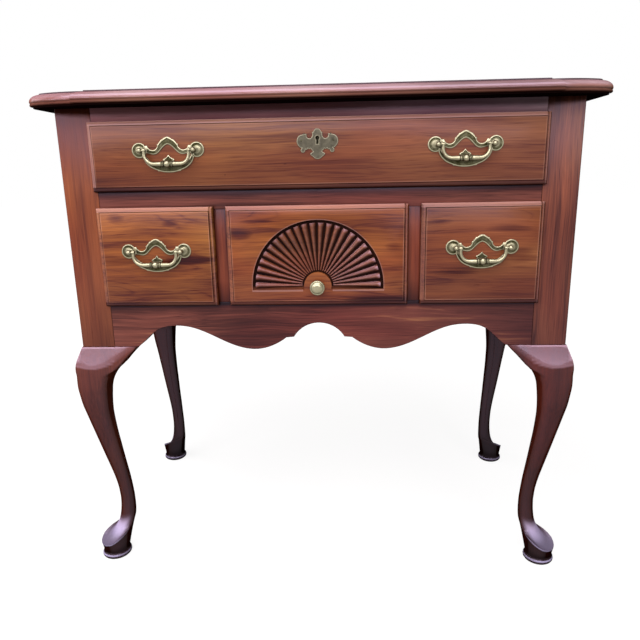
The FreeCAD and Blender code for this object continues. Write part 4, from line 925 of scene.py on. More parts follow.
def leg_shape():
    """A right front leg in (u, v, z) rings, from the case down."""
    rings = []
    for z in [375, 374.6, *(374 - k for k in range(40)), *(333 - 3.5 * k for k in range(67)), ANKLE]:
        ring = leg_ring(z)
        if z > 372.5:
            # a painted highlight line under the joint with the case, which is itself dark
            painted_sheen = 0.35 if z > 374.8 else -0.7
        else:
            painted_sheen = [hollow for *_, hollow in ring] if z > 325 else 0.0
        rings.append(([(u, v, z) for u, v, _ in ring], painted_sheen))
    return rings + foot_rings([(u, v) for u, v, _ in rings[-1][0]])


def bracket_shape():
    """The bracket beside a right front knee as (u, v, z) rings from its tip to the leg."""
    top = CASE_BOTTOM
    rings = []
    for u, low in through(BRACKET, 5):
        out = 12.4 + table(SWELL, u)
        crest = min(max(top - (out - 1.0) / FACET_SLOPE, low + 0.3), top - 0.1)
        r = min(4.5, (crest - low) * 0.75)
        heights = [top + (crest - top) * k / 5 for k in range(1, 6)]
        heights += [crest + (low + r - crest) * k / 3 for k in range(1, 4)]
        face = [(u, soft_least(facet(z), out, 4.0), z) for z in heights]
        edge = face[-1][1]
        nosing = [(u, edge - r * (1 - math.cos(a)), low + r * (1 - math.sin(a)))
                  for a in (math.radians(18 * k) for k in range(1, 6))]
        ring = [(u, -29.0, top), (u, 0.0, top), (u, min(facet(top), out), top), *face, *nosing,
                (u, -8.0, low), (u, -29.0, low)]
        # a dark joint along the top, a painted highlight line under it, and the painted highlight of the facet
        painted_sheen = [0.0, 0.3, -0.6] + [-ease((out - facet(z) + 1) / 2) * facet_sheen(z) for z in heights]
        rings.append((ring, painted_sheen + [0.0] * (len(ring) - len(painted_sheen))))
    return rings


def at_corner(rings, left, rear):
    """A right front leg's rings of (u, v, z), moved to a corner of the case."""
    x, y = -1 if left else 1, 1 if rear else -1
    return [([(x * (HALF_WIDTH + u), MIDDLE_Y + y * (MIDDLE_Y - FRONT + v), z) for u, v, z in ring], hollow)
            for ring, hollow in rings]


class LOWBOY_OT_legs(bpy.types.Operator):
    """Four cabriole legs with faceted knees and pad feet"""
    bl_idname = "lowboy.legs"
    bl_label = "Legs"

    def execute(self, context):
        rings = leg_shape()
        for end, side in CORNERS:
            node = "leg_" + end + "_" + side
            shape = Shape()
            shape.loft(at_corner(rings, side == "left", end == "rear"))
            shown(shape.piece("cabriole_" + node, 48), "case", [node], finishes()["leg"])
        return {"FINISHED"}


class LOWBOY_OT_brackets(bpy.types.Operator):
    """Shaped brackets beside the knees"""
    bl_idname = "lowboy.brackets"
    bl_label = "Knee brackets"

    def execute(self, context):
        rings = bracket_shape()
        swapped = [([(v, u, z) for u, v, z in ring], painted_sheen) for ring, painted_sheen in rings]
        # of each node: its brackets, each with whether it is a left and a rear one
        for side, members in (("front", [(rings, False, False), (rings, True, False)]),
                              ("right", [(swapped, False, False), (swapped, False, True)]),
                              ("left", [(swapped, True, False), (swapped, True, True)])):
            node = "knee_blocks_" + side
            shape = Shape()
            for member in members:
                shape.loft(at_corner(*member))
            shown(shape.piece("shaped_" + node, 48), "case", [node], finishes()["leg"])
        return {"FINISHED"}


# ---------------------------------------------------------------- drawer fronts

def front_piece(node, sizes, carved):
    """A drawer front: the CAD's own back and field, with a finer moulding between them."""
    (left, _, bottom), (right, _, top) = span(node)
    inner = 6.9
    bm = copy_of(node)
    gone = []
    for face in bm.faces:
        x, y, z = face.calc_center_median() / MM
        edge = min(x - left, right - x, z - bottom, top - z)
        if y < LIP_BACK - 0.02 and (edge < inner - 0.02 or (edge < inner + 0.02 and y > FIELD + 0.02)):
            gone.append(face)
        elif carved and FIELD + 0.02 < y < LIP_FRONT + 1.8:
            # all of the CAD's fan but its upright walls
            r = math.hypot(x, z - FAN_Z)
            wall = r > FAN_RADIUS - 0.5 or abs(r - FAN_HUB) < 0.25 or abs(z - (FAN_Z - FAN_FOOT)) < 0.05
            if r < FAN_RADIUS + 0.3 and z > FAN_Z - 6 and not (wall and abs(face.normal.y) < 0.1):
                gone.append(face)
    bmesh.ops.delete(bm, geom=gone, context="FACES")
    layer = bm.verts.layers.float.new("hollow")

    def corner(x, y, z, hollow):
        v = bm.verts.new(Vector((x, y, z)) * MM)
        v[layer] = hollow
        return v

    width, soft = sizes.lip_round / MM, sizes.field_round / MM
    # painted shade at the back of the lip, where it meets the case, and in the quirk at the field's edge
    rows = [(0.0, LIP_BACK, 1.0), (0.0, LIP_FRONT + 0.5, 0.0), (0.05, LIP_FRONT, 0.0)]
    for k in range(1, 8):
        a = math.radians(90 * k / 8)
        rows.append((width * (1 - math.cos(a)), LIP_FRONT - (LIP_FRONT - OVOLO_FRONT) * math.sin(a), 0.0))
    rows += [(width, OVOLO_FRONT, 0.1), (width + 0.35, OVOLO_FRONT + 0.5, 1.0),
             (inner - soft, OVOLO_FRONT + 0.4, 1.0), (inner - soft + 0.02, FIELD + 0.65, 0.45),
             (inner - soft * 0.7, FIELD + 0.18, 0.0), (inner, FIELD, 0.0)]
    rings = []
    for inset, y, hollow in rows:
        x0, x1, z0, z1 = left + inset, right - inset, bottom + inset, top - inset
        rings.append([corner(x, y, z, hollow) for x, z in ((x0, z0), (x1, z0), (x1, z1), (x0, z1))])
    for a, b in zip(rings, rings[1:]):
        for i in range(4):
            bm.faces.new((a[i - 1], a[i], b[i], b[i - 1]))
    if carved:
        radius = sizes.fan_radius / MM
        lean = math.asin(sizes.fan_foot / sizes.fan_radius)
        # the carving's floor is painted dark with shade
        floor = []
        for k in range(65):
            a = -lean + (math.pi + 2 * lean) * k / 64
            floor.append(corner(radius * math.cos(a), FIELD + sizes.fan_depth / MM,
                                FAN_Z + radius * math.sin(a), 1.0))
        face = bm.faces.new(floor)
        face.normal_update()
        if face.normal.y > 0:
            face.normal_flip()
    bmesh.ops.remove_doubles(bm, verts=bm.verts[:], dist=0.00001)
    return finished("moulded_" + node, bm, 32)


class LOWBOY_OT_drawer_fronts(bpy.types.Operator):
    """Four lipped drawer fronts with their mouldings"""
    bl_idname = "lowboy.drawer_fronts"
    bl_label = "Drawer fronts"

    def execute(self, context):
        for name in DRAWERS:
            node = name + "_drawer_front"
            shown(front_piece(node, context.scene.lowboy_sizes, name == "centre"), name + "_drawer", [node],
                  finishes()[name])
        return {"FINISHED"}


def fan_tree():
    """Tapering convex ribs laid round a centre."""
    tree = bpy.data.node_groups.new("carved_fan", "GeometryNodeTree")
    n = partial(add, tree)
    for name, kind, default, subtype in (
            ("Ribs", "Int", 24, None), ("Inner radius", "Float", 0.0232, "DISTANCE"),
            ("Outer radius", "Float", 0.0922, "DISTANCE"), ("Depth", "Float", 0.006, "DISTANCE"),
            ("Lean", "Float", 0.054, "ANGLE")):
        made = tree.interface.new_socket(name=name, in_out="INPUT", socket_type="NodeSocket" + kind)
        if subtype:
            made.subtype = subtype
        made.default_value = default
    tree.interface.new_socket(name="Finish", in_out="INPUT", socket_type="NodeSocketMaterial")
    tree.interface.new_socket(name="Geometry", in_out="OUTPUT", socket_type="NodeSocketGeometry")
    given = n("NodeGroupInput").node.outputs
    turn = n("DIVIDE", n("MULTIPLY_ADD", given["Lean"], 2.0, math.pi), given["Ribs"])
    # one rib: u runs outwards, v across
    grid = n("GeometryNodeMeshGrid", Size_X=1.0, Size_Y=1.0, Vertices_X=15, Vertices_Y=17)
    parts = n("ShaderNodeSeparateXYZ", n("GeometryNodeInputPosition")).node.outputs
    u, v = n("ADD", parts[0], 0.5), n("MULTIPLY", parts[1], 2.0)
    v_squared = n("MULTIPLY", v, v)
    # the rib's last step drops straight down to the channel
    along = n("MINIMUM", n("MULTIPLY", u, 1.0 / 0.93), 1.0)
    reach = n("SUBTRACT", given["Outer radius"], given["Inner radius"])
    radius = n("MULTIPLY_ADD", along, reach, given["Inner radius"])
    half = n("MULTIPLY", radius, n("TANGENT", n("MULTIPLY", turn, 0.5)))
    across = n("MULTIPLY", n("MULTIPLY", half, 0.72), v)
    rounded = n("SQRT", n("MAXIMUM", n("SUBTRACT", 1.0, v_squared), 0.0))
    tall = n("MINIMUM", n("MULTIPLY", half, 0.98), n("MULTIPLY", given["Depth"], 0.97))
    height = n("MULTIPLY", n("MULTIPLY", tall, rounded), n("LESS_THAN", u, 0.97))
    place = n("ShaderNodeCombineXYZ", radius, n("MULTIPLY", height, -1.0), across)
    rib = n("GeometryNodeSetPosition", Geometry=grid, Position=place)
    # painted shade, darker at the bottom of the grooves
    deep = n("MAXIMUM", n("SUBTRACT", n("MULTIPLY", v_squared, 2.0), 0.5), 0.0, use_clamp=True)
    kept = n("GeometryNodeStoreNamedAttribute", data_type="FLOAT", domain="POINT", Geometry=rib, Name="hollow",
             Value=deep)
    line = n("GeometryNodeMeshLine", mode="OFFSET", Count=given["Ribs"], Offset=(0, 0, 0))
    angle = n("MULTIPLY_ADD", n("ADD", n("GeometryNodeInputIndex"), 0.5), turn,
              n("MULTIPLY", given["Lean"], -1.0))
    spin = n("ShaderNodeCombineXYZ", 0.0, n("MULTIPLY", angle, -1.0), 0.0)
    copies = n("GeometryNodeInstanceOnPoints", Points=line, Instance=kept, Rotation=spin)
    smooth = n("GeometryNodeSetShadeSmooth", n("GeometryNodeRealizeInstances", copies))
    n("NodeGroupOutput", n("GeometryNodeSetMaterial", Geometry=smooth, Material=given["Finish"]))
    return tree


def grown(tree, values):
    """Runs a node tree with its inputs set, and gives the plain mesh."""
    holder = linked("holder", bpy.data.meshes.new("holder"))
    modifier = holder.modifiers.new("tree", "NODES")
    modifier.node_group = tree
    for item in tree.interface.items_tree:
        if item.name in values:
            modifier[item.identifier] = values[item.name]
    graph = bpy.context.evaluated_depsgraph_get()
    graph.update()
    mesh = bpy.data.meshes.new_from_object(holder.evaluated_get(graph))
    bpy.data.objects.remove(holder)
    return mesh


class LOWBOY_OT_fan(bpy.types.Operator):
    """Carved fan of the middle drawer"""
    bl_idname = "lowboy.fan"
    bl_label = "Carved fan"

    def execute(self, context):
        sizes = context.scene.lowboy_sizes
        bm = bmesh.new()
        bm.from_mesh(grown(fan_tree(), {
            "Ribs": sizes.fan_ribs, "Inner radius": sizes.fan_hub + sizes.fan_hub_channel,
            "Outer radius": sizes.fan_radius - sizes.fan_channel, "Depth": sizes.fan_depth,
            "Lean": math.asin(sizes.fan_foot / sizes.fan_radius), "Finish": finishes()["fan"]}))
        bmesh.ops.translate(bm, verts=bm.verts[:], vec=(0, FIELD * MM + sizes.fan_depth, FAN_Z * MM))
        # the lowest ribs stop at the fan's flat foot
        bmesh.ops.bisect_plane(bm, geom=bm.verts[:] + bm.edges[:] + bm.faces[:],
                               plane_co=(0, 0, FAN_Z * MM - sizes.fan_foot), plane_no=(0, 0, -1),
                               clear_outer=True)
        bmesh.ops.remove_doubles(bm, verts=bm.verts[:], dist=0.000002)
        bmesh.ops.reverse_faces(bm, faces=[f for f in bm.faces if f.normal.y > 0.02])
        bm.normal_update()
        layer = bm.verts.layers.float["hollow"]
        for vert in bm.verts:
            tilt = vert.normal.dot(Vector((-0.5, 0.0, 0.87)))
            reach = math.hypot(vert.co.x, vert.co.z - FAN_Z * MM) / sizes.fan_radius
            # a painted highlight along the upper left sides, the more so further out, but not down in the
            # grooves
            side = ease((tilt - 0.68) / 0.2) * (0.35 + 0.4 * ease((reach - 0.4) / 0.5))
            side *= 1 - ease((vert[layer] - 0.85) / 0.15)
            # and at the upper rim of the outer ends, on the right above all
            end = ease((reach - 0.94) / 0.012) * ease((-vert.normal.y - 0.3) / 0.3)
            end *= 0.4 + 0.6 * ease(vert.co.x / MM / 60)
            painted_sheen = max(side, end)
            # painted shade on the sides turned away from the upper left
            shadow = 0.7 * ease((0.1 - tilt) / 0.6)
            vert[layer] = max(vert[layer], shadow) * (1 - painted_sheen) - 0.75 * painted_sheen
        shown(finished("carved_fan_ribs", bm, 50), "centre_drawer", [],
              finishes()["fan"])
        return {"FINISHED"}


class LOWBOY_OT_insides(bpy.types.Operator):
    """Drawer boxes, runners, guides, cleats, blocks and screws"""
    bl_idname = "lowboy.insides"
    bl_label = "Insides"

    def execute(self, context):
        finish = finishes()
        for name in DRAWERS:
            coat(finish["inside_y"], name + "_drawer_sides", name + "_drawer_bottom")
            coat(finish["inside_x"], name + "_drawer_back")
        coat(finish["inside_y"], "upper_runners", "lower_runners", "drawer_guides", "top_cleats")
        coat(finish["inside_x"], "rear_cross_rails", "corner_blocks")
        coat(finish["steel"], "top_screws", "knob_screw")
        return {"FINISHED"}


# ---------------------------------------------------------------- brass

def offset(points, by):
    """A closed outline moved inwards by a distance."""
    area = sum(a[0] * b[1] - b[0] * a[1] for a, b in zip(points, points[1:] + points[:1]))
    sign = 1 if area > 0 else -1
    result = []
    for k, (x, z) in enumerate(points):
        (ax, az), (bx, bz) = points[k - 1], points[(k + 1) % len(points)]
        sides = Vector((x - ax, z - az)), Vector((bx - x, bz - z))
        first, second = (Vector((-e.y, e.x)).normalized() * sign for e in sides)
        way = first + second
        if min(e.length for e in sides) < 1e-6 or way.length < 0.4:
            result.append((x, z))
            continue
        way.normalize()
        scale = 1 / max(way.dot(first), 0.55)
        result.append((x + way.x * by * scale, z + way.y * by * scale))
    return result


def whole(half, gap=1.1):
    """A closed outline from its right half, with points about this far apart and its corners kept."""
    line = half + [(-x, z) for x, z in reversed(half) if x > 0.01]
    result = []
    for a, b in zip(line, line[1:] + line[:1]):
        distance = math.dist(a, b)
        pieces = max(1, round(distance / gap)) if distance > 1e-5 else 0
        result += [mixed(a, b, i / pieces) for i in range(pieces)]
    return result


def cast_plate(shape, outline, thickness, bevel, at, recesses=(), recess=0.0, hole=None, dull=0.0):
    """A flat casting on a drawer's field, with a rounded edge, sunk areas in its face and perhaps a hole
    through it. dull is the tarnish of its face against its worn edge."""
    face = FIELD - thickness
    worn = -dull

    def ring(points, y, hollow):
        return shape.ring([(x + at[0], y, z + at[1]) for x, z in points], hollow)
    rows = [(0.0, FIELD, 0.6), (0.0, face + bevel, 0.2 + worn), (bevel * 0.4, face + bevel * 0.35, worn),
            (bevel, face, worn)]
    if dull:
        rows += [(bevel + 0.5, face, worn), (bevel + 1.0, face, dull)]
    rings = [ring(offset(outline, inset), y, hollow) for inset, y, hollow in rows]
    shape.skin(rings)
    inner = []
    for area in recesses:
        walls = [ring(area, face, 0.0), ring(offset(area, 0.12), face + recess * 0.5, 0.75),
                 ring(offset(area, 0.3), face + recess, 1.0), ring(offset(area, 0.7), face + recess, 0.8)]
        shape.skin(walls)
        shape.fill(walls[-1])
        inner.append(walls[0])
    if hole:
        around = [ring(offset(hole, -1.1), face, dull), ring(offset(hole, -0.6), face, worn),
                  ring(hole, face, worn), ring(hole, face + 0.25, 1.0), ring(hole, FIELD + 9, 1.0)]
        shape.skin(around)
        inner.append(around[0])
    else:
        shape.fill(rings[0])
    shape.fill(rings[-1], *inner)


def band():
    """The crested upper band of a pull's plate, and its sunk middle."""
    lower = through([(0.0, 8.2), (3.2, 7.0), (6.8, 4.2), (10.4, 0.6), (14.0, -3.0), (17.8, -5.0), (22.0, -5.4),
                     (27.0, -4.2), (31.0, -3.2), (34.5, -3.0)], 3)
    upper = [(34.5, 5.9), *through([(33.4, 6.2), (30.6, 6.9), (28.6, 6.4)], 3)[:-1],
             *through([(28.9, 5.2), (26.6, 2.4), (23.6, 0.9), (20.4, 0.9), (17.4, 2.2), (15.4, 4.4),
                       (14.6, 7.2)], 3)[:-1],
             (15.0, 8.2), (13.3, 9.0), *through([(12.3, 10.6), (10.8, 12.2), (9.4, 13.3)], 2)[:-1],
             (9.8, 14.2), (8.0, 14.7), *through([(6.4, 15.6), (3.4, 17.6), (0.0, 18.5)], 3)]
    sunk = through([(0.0, 9.8), (3.9, 8.4), (7.8, 5.4), (11.5, 1.6), (15.0, -1.8), (18.2, -3.5), (22.0, -4.0),
                    (26.6, -2.9), (29.4, -2.2)], 3)
    sunk += through([(29.4, 2.4), (26.0, 0.5), (23.4, -0.6), (20.2, -0.6), (16.9, 0.8), (14.4, 3.6),
                     (12.6, 7.4), (9.6, 10.8), (5.4, 13.9), (0.0, 16.7)], 3)
    return whole(lower + upper), [whole(sunk)]


def crescent():
    """The lower crescent of a pull's plate with its pointed finial, its sunk middle and the finial's leaf."""
    inner = [(0.0, -6.0), *through([(1.2, -7.6), (3.0, -9.6), (5.6, -11.0)], 3)[1:],
             (7.9, -12.2), (8.3, -13.8), (6.6, -15.2),
             *through([(7.4, -18.8), (12.0, -20.0), (18.6, -18.6), (26.0, -14.6), (30.6, -10.0),
                       (33.5, -5.2)], 4)]
    outer = [*through([(37.4, -5.2), (36.2, -10.6), (32.8, -17.0), (26.9, -22.6), (20.9, -25.7),
                       (16.9, -27.0)], 4),
             (16.4, -28.3), (14.6, -28.6), *through([(13.6, -28.5), (7.0, -29.9), (0.0, -30.3)], 4)]
    sunk = through([(0.0, -21.6), (12.0, -21.6), (19.0, -20.3), (26.6, -16.3), (31.4, -12.0), (33.8, -9.0)], 3)
    sunk += through([(35.3, -9.0), (34.2, -12.0), (31.2, -16.6), (25.8, -21.5), (20.0, -24.4), (13.0, -27.0),
                     (6.8, -28.4), (0.0, -28.8)], 3)
    leaf = through([(0.0, -8.2), (1.6, -9.6), (3.6, -11.3), (5.9, -12.7), (5.0, -14.4), (0.0, -14.8)], 3)
    return whole(inner + outer), [whole(sunk), whole(leaf, 1.0)]


def keyhole_plate_outline():
    """The keyhole plate, from its crest to its tail."""
    return whole([
        *through([(0.0, 15.9), (3.0, 15.2), (4.9, 12.9), (5.5, 11.0)], 4)[:-1],
        (6.4, 11.4), (7.6, 10.5), (6.9, 9.2),
        *through([(6.9, 8.0), (7.6, 5.0), (9.8, 3.0), (12.4, 2.9), (14.6, 4.8), (14.9, 7.0), (14.2, 8.4)],
                 3)[:-1],
        (15.4, 9.2), (17.6, 8.6), (18.6, 10.6), (19.8, 8.4),
        *through([(21.6, 8.0), (25.0, 6.9), (28.0, 3.4), (29.0, -1.2), (27.6, -6.0), (24.0, -9.8)], 4),
        (22.2, -10.2), (23.6, -11.9),
        *through([(23.8, -13.6), (22.6, -15.6), (20.3, -16.3), (18.0, -15.4), (17.2, -13.4)], 3)[:-1],
        (16.4, -12.2), (14.6, -12.8), (13.4, -10.9), (11.6, -11.9), (9.6, -11.2), (8.6, -13.0), (7.6, -13.4),
        (6.6, -15.0), (8.4, -16.2), (10.6, -17.4), (10.2, -19.2),
        *through([(9.0, -20.4), (6.0, -22.6), (3.2, -24.8), (0.0, -25.4)], 4)], 1.0)


# of each drawer that has them, its pulls
PULLS = {"top_drawer": ("top_left", "top_right"), "left_drawer": ("left",), "right_drawer": ("right",)}
# from the middle of a pull to its pivots
HALF_PULL = 38.1
OUT, IN = (0, -1, 0), (0, 1, 0)


def pull_place(name):
    """The middle between a handle's two pivots, from its hinge."""
    return next(tuple(v / MM for v in joint["pos_m"]) for joint in frame["joints"]
                if joint["name"] == "bail_" + name + "_hinge")


def brass_piece(shape, name, crease, body, node):
    """Shows a casting, with darker tarnish on its undersides that also paints their shade."""
    shown(shape.piece(name, crease, under=0.75), body, [node], finishes()["brass"])


class LOWBOY_OT_pull_plates(bpy.types.Operator):
    """Pierced plates behind the drawer handles"""
    bl_idname = "lowboy.pull_plates"
    bl_label = "Pull plates"

    def execute(self, context):
        recess = context.scene.lowboy_sizes.plate_recess / MM
        low, high = span("pull_plate_left")
        face = high[1] - low[1]
        rosette = [(10.5, 0, 0.5), (10.5, face - 0.5, 0.1), (10.2, face - 0.12), (9.8, face), (8.9, face),
                   (8.5, face - 0.5, 0.8), (5.6, face - 0.55, 0.7), (5.0, face - 0.3, 0.3),
                   (0.0, face - 0.2, 0.3)]
        for drawer, pulls in PULLS.items():
            for name in pulls:
                x, _, z = pull_place(name)
                shape = Shape()
                for outline, recesses in (band(), crescent()):
                    cast_plate(shape, outline, face - 0.25, 0.35, (x, z), recesses, recess)
                for side in (-1, 1):
                    shape.lathe(rosette, (x + side * 41.1, FIELD, z + 0.5), OUT, 40)
                brass_piece(shape, "pierced_plate_" + name, 38, drawer, "pull_plate_" + name)
        return {"FINISHED"}


class LOWBOY_OT_pull_posts(bpy.types.Operator):
    """Ball-headed posts that carry the handles, with bolts and nuts"""
    bl_idname = "lowboy.pull_posts"
    bl_label = "Pull posts"

    def execute(self, context):
        head, foot = 3.7, FIELD - 1.8
        bolt = [(2.0, 0.0), (2.0, 24.2), (1.6, 24.6)]
        nut = [(4.9, 0.0), (5.2, 0.4), (5.2, 2.6), (4.9, 3.0)]
        for drawer, pulls in PULLS.items():
            shape = Shape()
            for name in pulls:
                x, y, z = pull_place(name)
                post = [(4.6, -0.3, 0.4), (4.6, 0.5, 0.1), (4.0, 1.0, 0.3), (2.7, 1.6, 0.6), (2.4, 2.6, 0.3),
                        (2.5, 4.6, 0.1)]
                post += [(head * math.sin(a), foot - y - head * math.cos(a))
                         for a in (math.radians(15 * k) for k in range(3, 13))]
                for px in (x - HALF_PULL, x + HALF_PULL):
                    shape.lathe(post, (px, foot, z), OUT, 24)
                    shape.lathe(bolt, (px, foot + 0.2, z), IN, 16)
                    shape.lathe(nut, (px, FRONT_BACK, z), IN, 6)
            owner = drawer.removesuffix("_drawer")
            brass_piece(shape, "handle_posts_" + owner, 38, drawer, "pull_posts_" + owner)
        return {"FINISHED"}


def bail_shape(x, y, z, sizes):
    """A handle: round knuckles, bent arms and a swelling grip with a ball between rings."""
    half, drop, bend = 31.6, 18.7, 13.5
    arm, grip, ball = sizes.arm / MM / 2, sizes.grip / MM / 2, sizes.ball / MM / 2
    flat = half - bend
    # the right half: down the arm, round the bend, along the grip, over the rings and up the ball
    bar = [(half, -(drop - bend) * k / 4) for k in range(5)]
    bar += [(flat + bend * math.cos(a), -(drop - bend) - bend * math.sin(a))
            for a in (math.radians(7.5 * k) for k in range(1, 13))]
    bar += [(flat + (8.8 - flat) * k / 8, -drop) for k in range(1, 9)]
    rows = []
    for k, place in enumerate(bar):
        t = k / (len(bar) - 1)
        rows.append((*place, arm + (grip - arm) * ease((t - 0.15) / 0.75) - 0.1 * math.sin(math.pi * t), 0.0))
    rows += [(px, -drop, radius, hollow) for px, radius, hollow in (
        (8.4, grip - 0.2, 0.4), (8.1, grip - 0.6, 1.0), (7.8, 4.0, 0.5), (7.4, 4.5, 0.0), (6.9, 4.6, 0.0),
        (6.5, 4.2, 0.4), (6.3, 3.4, 1.0), (6.1, 3.4, 1.0), (5.9, 4.0, 0.4), (5.6, 4.3, 0.0), (5.2, 4.2, 0.0),
        (4.9, 3.7, 0.5), (4.7, 3.1, 1.0))]
    for k in range(1, 9):
        a = math.radians(34 + 7 * k)
        rows.append((ball * math.cos(a) * 0.96, -drop, ball * math.sin(a), 0.5 if k == 1 else 0.0))
    rows += [(-px, *rest) for px, *rest in rows[-2::-1]]
    shape = Shape()
    shape.tube([(x + px, y, z + pz) for px, pz, _, _ in rows], [row[2] for row in rows],
               [row[3] for row in rows], 20)
    knuckle = [(1.9, 0), (2.55, 0.35), (2.7, 0.9), (2.7, 3.7), (2.55, 4.25), (1.4, 4.6), (1.4, 6.1)]
    for side in (-1, 1):
        shape.lathe(knuckle, (x + side * (half - 2.3), y, z), (side, 0, 0), 20)
    return shape


class LOWBOY_OT_bails(bpy.types.Operator):
    """Hanging handles with a ball in the middle of each grip"""
    bl_idname = "lowboy.bails"
    bl_label = "Handles"

    def execute(self, context):
        for pulls in PULLS.values():
            for name in pulls:
                brass_piece(bail_shape(*pull_place(name), context.scene.lowboy_sizes), "handle_" + name, 45,
                            "bail_" + name + "_body", "bail_" + name)
        return {"FINISHED"}


class LOWBOY_OT_knob(bpy.types.Operator):
    """Turned knob under the fan"""
    bl_idname = "lowboy.knob"
    bl_label = "Knob"

    def execute(self, context):
        x, _, z = middle_of("knob")
        shape = Shape()
        shape.lathe([(6.4, 0, 0.5), (6.5, 1.0, 0.3), (6.1, 1.7, 0.1), (5.0, 2.3, 0.6), (4.0, 3.0, 0.5),
                     (3.75, 5.0, 0.3), (3.8, 7.4, 0.3), (4.4, 9.2, 0.4), (6.2, 10.6, 0.4), (8.6, 11.5, 0.2),
                     (10.4, 12.6), (10.95, 14.0), (10.9, 15.0), (10.5, 15.9), (9.9, 16.4), (9.2, 16.5, 0.3),
                     (8.7, 16.3, 0.6), (8.2, 16.6, 0.3), (7.0, 17.6), (5.0, 18.5), (2.6, 18.92), (0.0, 19.0)],
                    (x, FIELD, z), OUT, 56)
        brass_piece(shape, "turned_knob", 50, "centre_drawer", "knob")
        return {"FINISHED"}


class LOWBOY_OT_lock(bpy.types.Operator):
    """Keyhole plate, its pins, the lock and its bolt"""
    bl_idname = "lowboy.lock"
    bl_label = "Lock"

    def execute(self, context):
        x, z = middle_of("escutcheon")[0], span("escutcheon")[1][2] - 15.8
        thickness = 1.2
        keyhole = [(2.9 * math.cos(a), 3.4 + 2.9 * math.sin(a))
                   for a in (math.radians(-52 + 284 * k / 14) for k in range(15))]
        keyhole += [(-1.6, -1.0), (-1.7, -5.0), (1.7, -5.0), (1.6, -1.0)]
        shape = Shape()
        cast_plate(shape, keyhole_plate_outline(), thickness, 0.4, (x, z), hole=keyhole, dull=0.5)
        shown(shape.piece("keyhole_plate", 38), "top_drawer", ["escutcheon"],
              finishes()["plate_brass"])
        shape = Shape()
        for side in (-1, 1):
            shape.lathe([(0.7, -8.5, 0.9), (0.7, 0.0, 0.9), (1.2, 0.0, 0.9), (1.15, 0.4, 0.9), (0.8, 0.75, 0.6),
                         (0.0, 0.9, 1.0)], (x + side * 22.2, FIELD - thickness, z), OUT, 16)
        shown(shape.piece("plate_pins", 50), "top_drawer", ["escutcheon_pins"],
              finishes()["brass"])
        coat(finishes()["lock_brass"], "lock_case", "lock_bolt")
        return {"FINISHED"}


# ---------------------------------------------------------------- stage

def seen(n):
    """1 where a surface is seen by the eye or in metal and glass, and 0 where it only lights the piece."""
    path = n("ShaderNodeLightPath").node.outputs
    return n("MAXIMUM", path["Is Camera Ray"],
             n("MAXIMUM", path["Is Glossy Ray"], path["Is Transmission Ray"]))


def lamp(name, place, aim, width, height, power):
    """A soft, faintly cool panel of light, turned to a point."""
    data = bpy.data.lights.new(name, "AREA")
    data.shape = "RECTANGLE"
    data.size, data.size_y = width, height
    data.energy = power
    data.color = linear("#fbf8ff")[:3]
    obj = linked(name, data)
    obj.location = place
    obj.rotation_euler = (Vector(aim) - Vector(place)).to_track_quat("-Z", "Y").to_euler()


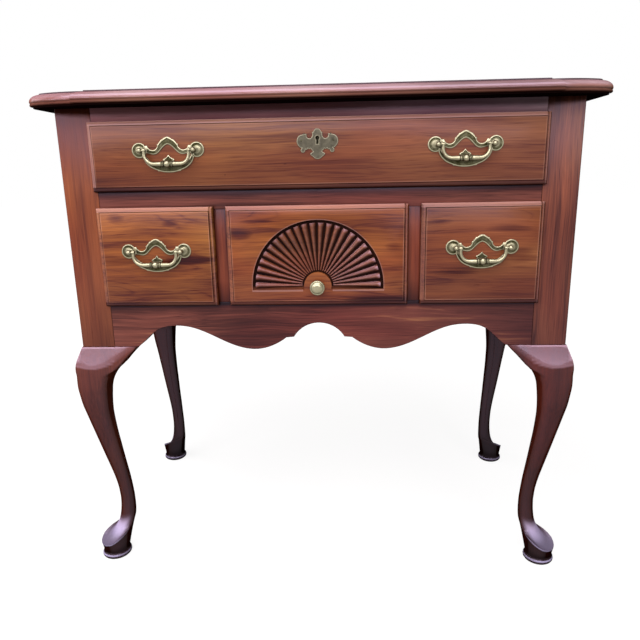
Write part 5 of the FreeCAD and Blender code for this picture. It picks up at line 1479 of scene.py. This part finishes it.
class LOWBOY_OT_stage(bpy.types.Operator):
    """Plain pale floor, soft studio light and the camera"""
    bl_idname = "lowboy.stage"
    bl_label = "Stage"

    def execute(self, context):
        scene = context.scene
        bm = bmesh.new()
        bmesh.ops.create_circle(bm, cap_ends=True, segments=96, radius=14.0)
        mesh = bpy.data.meshes.new("studio_floor")
        bm.to_mesh(mesh)
        bm.free()
        floor = linked("studio_floor", mesh)
        material, n = fresh("matt_studio_floor")
        # a mid-grey cloth floor that reads as white to the eye, to metal and to glass, with its shadows kept
        away = n("ShaderNodeVectorMath", n("ShaderNodeTexCoord", out="Object"), operation="LENGTH")
        far = n(RAMP, n("DIVIDE", away, 4.0), stops=[(0.15, 0.88), (0.5, 1)])
        white = n("ShaderNodeEmission", Color=1, Strength=n("MULTIPLY", seen(n), far))
        matt = n("ShaderNodeBsdfDiffuse", Color=tuple(scene.lowboy_finishes.floor))
        n("ShaderNodeOutputMaterial", n("ShaderNodeAddShader", matt, white))
        floor.data.materials.append(material)

        world = bpy.data.worlds.new("pale_studio")
        scene.world = world
        world.use_nodes = True
        world.node_tree.nodes.clear()
        n = partial(add, world.node_tree)
        level = n("MULTIPLY_ADD", seen(n), 0.92, 0.08)
        n("ShaderNodeOutputWorld", n("ShaderNodeBackground", Color=1, Strength=level))

        lamp("front_softbox", (-0.7, -2.75, 1.62), (0, -0.1, 0.42), 5.2, 0.6, 86)
        lamp("left_softbox", (-2.7, 0.0, 1.2), (0, 0, 0.5), 2.2, 1.8, 48)
        lamp("overhead_softbox", (-0.3, -1.5, 3.1), (0, 0, 0.5), 3.6, 2.2, 118)

        data = bpy.data.cameras.new("camera")
        data.sensor_width = 36.0
        data.lens = 589.0 / 640 * 36
        data.shift_x = -1.0 / 640
        data.shift_y = 0.1 / 640
        data.clip_end = 100
        camera = linked("camera", data)
        yaw, pitch, roll = 0.0513, 0.2475, -0.0195
        s, c = math.sin, math.cos
        turn_z = Matrix(((c(yaw), s(yaw), 0), (-s(yaw), c(yaw), 0), (0, 0, 1)))
        turn_x = Matrix(((1, 0, 0), (0, c(pitch), -s(pitch)), (0, s(pitch), c(pitch))))
        # the picture's own axes: right, down and away
        seen_along = Matrix(((1, 0, 0), (0, 0, -1), (0, 1, 0))) @ turn_x @ turn_z
        rolled = Matrix(((c(roll), -s(roll), 0), (s(roll), c(roll), 0), (0, 0, 1))) @ seen_along
        right, down, off = rolled
        matrix = Matrix((right, -down, -off)).transposed().to_4x4()
        matrix.translation = (0.04756, -1.0435, 0.6341)
        camera.matrix_world = matrix
        scene.camera = camera
        scene.view_settings.view_transform = "Standard"
        return {"FINISHED"}


# ---------------------------------------------------------------- panel and registration

PIECES = (LOWBOY_OT_stage, LOWBOY_OT_top, LOWBOY_OT_case, LOWBOY_OT_legs, LOWBOY_OT_brackets,
          LOWBOY_OT_drawer_fronts, LOWBOY_OT_fan, LOWBOY_OT_insides, LOWBOY_OT_pull_plates,
          LOWBOY_OT_pull_posts, LOWBOY_OT_bails, LOWBOY_OT_knob, LOWBOY_OT_lock)


class LOWBOY_PT_panel(bpy.types.Panel):
    """Lists the pieces and their sizes"""
    bl_idname = "LOWBOY_PT_panel"
    bl_label = "Lowboy"
    bl_space_type = "VIEW_3D"
    bl_region_type = "UI"
    bl_category = "Lowboy"

    def draw(self, context):
        for piece in PIECES:
            self.layout.operator(piece.bl_idname)
        for group in (context.scene.lowboy_sizes, context.scene.lowboy_finishes):
            box = self.layout.box()
            for key in keys_of(group):
                box.prop(group, key)


CLASSES = (LowboySizes, LowboyFinishes, *PIECES, LOWBOY_PT_panel)


def register():
    for item in CLASSES:
        bpy.utils.register_class(item)
    bpy.types.Scene.lowboy_sizes = bpy.props.PointerProperty(type=LowboySizes)
    bpy.types.Scene.lowboy_finishes = bpy.props.PointerProperty(type=LowboyFinishes)


def unregister():
    del bpy.types.Scene.lowboy_finishes
    del bpy.types.Scene.lowboy_sizes
    for item in reversed(CLASSES):
        bpy.utils.unregister_class(item)


def main():
    register()
    for piece in PIECES:
        group, name = piece.bl_idname.split(".")
        getattr(getattr(bpy.ops, group), name)()


if __name__ == "__main__":
    main()
